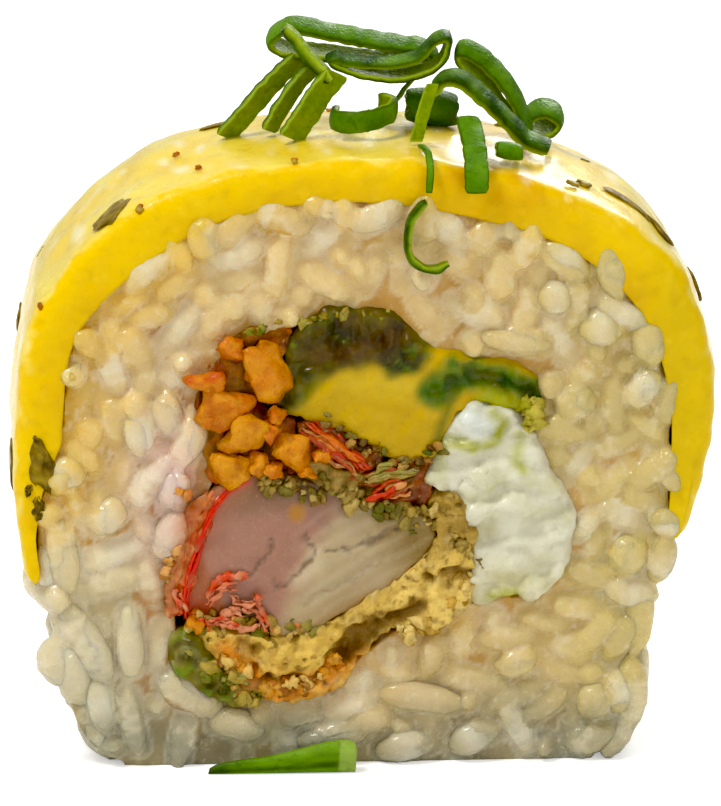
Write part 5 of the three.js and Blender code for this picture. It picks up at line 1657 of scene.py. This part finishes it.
class OBJECT_OT_uramaki_stem(bpy.types.Operator):
    """Builds the short length of stem that lies at the foot of the rice"""

    bl_idname = "object.uramaki_stem"
    bl_label = "Stem"
    bl_options = {"REGISTER", "UNDO"}

    # x, height and depth along the stem, which tapers to the left
    STEM = [(-12.2, 0.5, 0.4), (-11.6, 0.8, 0.6), (-10, 1.1, 0.8), (-7.6, 1.4, 1), (-5, 2, 1.2),
            (-3, 2.5, 1.35), (-1.5, 2.6, 1.4), (-0.9, 2.4, 1.3), (-0.7, 1.9, 1.1)]
    MIDDLE_Y = -13.35
    GROOVE_AT = 3.5  # angle round the stem, in radians

    def execute(self, context):
        table = smooth_path(self.STEM, 60)
        sides, rings, values = 28, [], []
        for x, height, depth in table:
            for s in range(sides):
                a = 2 * math.pi * s / sides
                up, deep = math.sin(a), math.cos(a)
                groove = math.exp(-((a - self.GROOVE_AT) / 0.22) ** 2)
                rise = 0.5 + 0.5 * np.sign(up) * abs(up) ** 0.85
                y = self.MIDDLE_Y + depth / 2 * deep * (1 - 0.25 * groove)
                rings.append((x + 0.08 * up, y, max(0, height * rise)))
                values.append((up, groove))
        points = np.array(rings)
        faces = rings_to_faces(len(table), sides)
        first, last = tuple(range(sides)), tuple(range(len(points) - sides, len(points)))
        faces += [first[::-1], last]
        up, groove = np.array(values).T
        colour = painted(
            points, paint(104, 148, 12),
            (paint(58, 98, 10), 0.6 * clamp(0.5 + ripple(points * (0.25, 1, 1.6), 0.6, 3))),
            # Painted shade in the groove
            (paint(40, 66, 8), 0.8 * groove), (paint(40, 64, 12), 0.7 * clamp((-8 - points[:, 0]) / 3)),
            # Painted light: paler along the stem's upper side towards its thick end
            (paint(150, 186, 60), 0.4 * clamp(up) * clamp((points[:, 0] + 8) / 3)),
            (paint(170, 196, 90), 0.7 * (points[:, 0] > -2.0)))
        add_piece("onion_stem", points, turned_outwards(points, faces), colour, "spring_onion",
                  onion_material(), "onion_stem")
        return {"FINISHED"}


# Stage

class OBJECT_OT_uramaki_stage(bpy.types.Operator):
    """Sets the pale floor, the soft lights and the camera"""

    bl_idname = "object.uramaki_stage"
    bl_label = "Stage"
    bl_options = {"REGISTER", "UNDO"}

    TARGET = (-0.00028, -0.012, 0.0294)  # where the camera looks, on the cut face
    CAMERA_TURN = math.radians(-3)
    LENS = 185.8
    # Name, place, size and power of each light
    LIGHTS = (
        ("key", (-0.16, -0.10, 0.36), 0.1, 0.74), ("back", (0.12, 0.30, 0.26), 0.2, 0.8),
        ("fill", (0.16, -0.42, 0.16), 0.3, 0.3),
    )

    def execute(self, context):
        look = context.scene.uramaki_stage
        self.floor(look)
        self.lights()
        self.camera(look)
        world = bpy.data.worlds.new("Studio")
        world.use_nodes = True
        world.node_tree.nodes["Background"].inputs["Color"].default_value = (1, 1, 1, 1)
        world.node_tree.nodes["Background"].inputs["Strength"].default_value = 0.5
        context.scene.world = world
        view = context.scene.view_settings
        view.view_transform = "Standard"
        view.use_curve_mapping = True
        view.curve_mapping.black_level = (0.01, 0.01, 0.012)
        view.curve_mapping.update()
        return {"FINISHED"}

    @staticmethod
    def floor(look):
        """A floor that curves up into a wall, and glows a little where the camera sees it"""
        mesh = bpy.data.meshes.new("floor")
        reach, depth, rise, bend = 2.0, 1.2, 1.5, 0.4
        profile = [(-depth, 0), (depth, 0)]
        for a in np.linspace(0.1, math.pi / 2, 10):
            profile.append((depth + bend * math.sin(a), bend - bend * math.cos(a)))
        profile.append((depth + bend, rise))
        points = [(side * reach, y, z) for y, z in profile for side in (-1, 1)]
        faces = [(2 * i, 2 * i + 1, 2 * i + 3, 2 * i + 2) for i in range(len(profile) - 1)]
        mesh.from_pydata(points, [], faces)
        mesh.shade_smooth()
        floor = bpy.data.objects.new("floor", mesh)
        bpy.context.scene.collection.objects.link(floor)
        material = bpy.data.materials.new("Pale floor")
        material.use_nodes = True
        shader = material.node_tree.nodes["Principled BSDF"]
        shader.inputs["Base Color"].default_value = (*look.floor, 1)
        shader.inputs["Roughness"].default_value = 0.9
        shader.inputs["Specular IOR Level"].default_value = 0.1
        seen = add_node(material.node_tree, "LightPath").outputs["Is Camera Ray"]
        glow = add_node(material.node_tree, "Math", {"operation": "MULTIPLY"})
        material.node_tree.links.new(seen, glow.inputs[0])
        glow.inputs[1].default_value = 0.4
        material.node_tree.links.new(glow.outputs[0], shader.inputs["Emission Strength"])
        shader.inputs["Emission Color"].default_value = (1, 1, 1, 1)
        mesh.materials.append(material)

    def lights(self):
        for name, place, size, power in self.LIGHTS:
            data = bpy.data.lights.new(name, "AREA")
            data.size = size
            data.energy = power
            light = bpy.data.objects.new(name, data)
            light.location = place
            light.rotation_euler = (Vector((0, 0, 0.03)) - Vector(place)).to_track_quat("-Z", "Y").to_euler()
            bpy.context.scene.collection.objects.link(light)

    def camera(self, look):
        data = bpy.data.cameras.new("camera")
        data.lens = self.LENS
        data.sensor_width = 36
        data.clip_start = 0.01
        camera = bpy.data.objects.new("camera", data)
        turn, up = self.CAMERA_TURN, look.camera_height
        back = Vector((math.sin(turn) * math.cos(up), -math.cos(turn) * math.cos(up), math.sin(up)))
        camera.location = Vector(self.TARGET) + back * look.camera_distance
        camera.rotation_euler = (-back).to_track_quat("-Z", "Y").to_euler()
        bpy.context.scene.collection.objects.link(camera)
        bpy.context.scene.camera = camera


class VIEW3D_PT_uramaki(bpy.types.Panel):
    """Lists the pieces of the slice and what can be set for them"""

    bl_idname = "VIEW3D_PT_uramaki"
    bl_label = "Uramaki Roll Slice"
    bl_space_type = "VIEW_3D"
    bl_region_type = "UI"
    bl_category = "Uramaki"

    def draw(self, context):
        for group, operators in PANEL_ROWS:
            box = self.layout.box()
            settings = getattr(context.scene, group)
            for title in settings.__annotations__:
                box.prop(settings, title)
            for operator in operators:
                box.operator(operator)


PANEL_ROWS = (
    ("uramaki_rice", ("object.uramaki_rice",)),
    ("uramaki_cheese", ("object.uramaki_cheese",)),
    ("uramaki_fillings", ("object.uramaki_prawn", "object.uramaki_fillings")),
    ("uramaki_onion", ("object.uramaki_onion", "object.uramaki_stem")),
    ("uramaki_stage", ("object.uramaki_stage",)),
)
SETTINGS = {
    "uramaki_rice": UramakiRice, "uramaki_cheese": UramakiCheese, "uramaki_fillings": UramakiFillings,
    "uramaki_onion": UramakiOnion, "uramaki_stage": UramakiStage,
}
CLASSES = (
    *SETTINGS.values(), OBJECT_OT_uramaki_rice, OBJECT_OT_uramaki_cheese, OBJECT_OT_uramaki_prawn,
    OBJECT_OT_uramaki_fillings, OBJECT_OT_uramaki_onion, OBJECT_OT_uramaki_stem, OBJECT_OT_uramaki_stage,
    VIEW3D_PT_uramaki,
)


def register():
    for cls in CLASSES:
        bpy.utils.register_class(cls)
    for title, cls in SETTINGS.items():
        setattr(bpy.types.Scene, title, PointerProperty(type=cls))


def unregister():
    for title in SETTINGS:
        delattr(bpy.types.Scene, title)
    for cls in reversed(CLASSES):
        bpy.utils.unregister_class(cls)


def main():
    register()
    bpy.ops.object.uramaki_stage()
    bpy.ops.object.uramaki_rice()
    bpy.ops.object.uramaki_cheese()
    bpy.ops.object.uramaki_prawn()
    bpy.ops.object.uramaki_fillings()
    bpy.ops.object.uramaki_onion()
    bpy.ops.object.uramaki_stem()


if __name__ == "__main__":
    main()
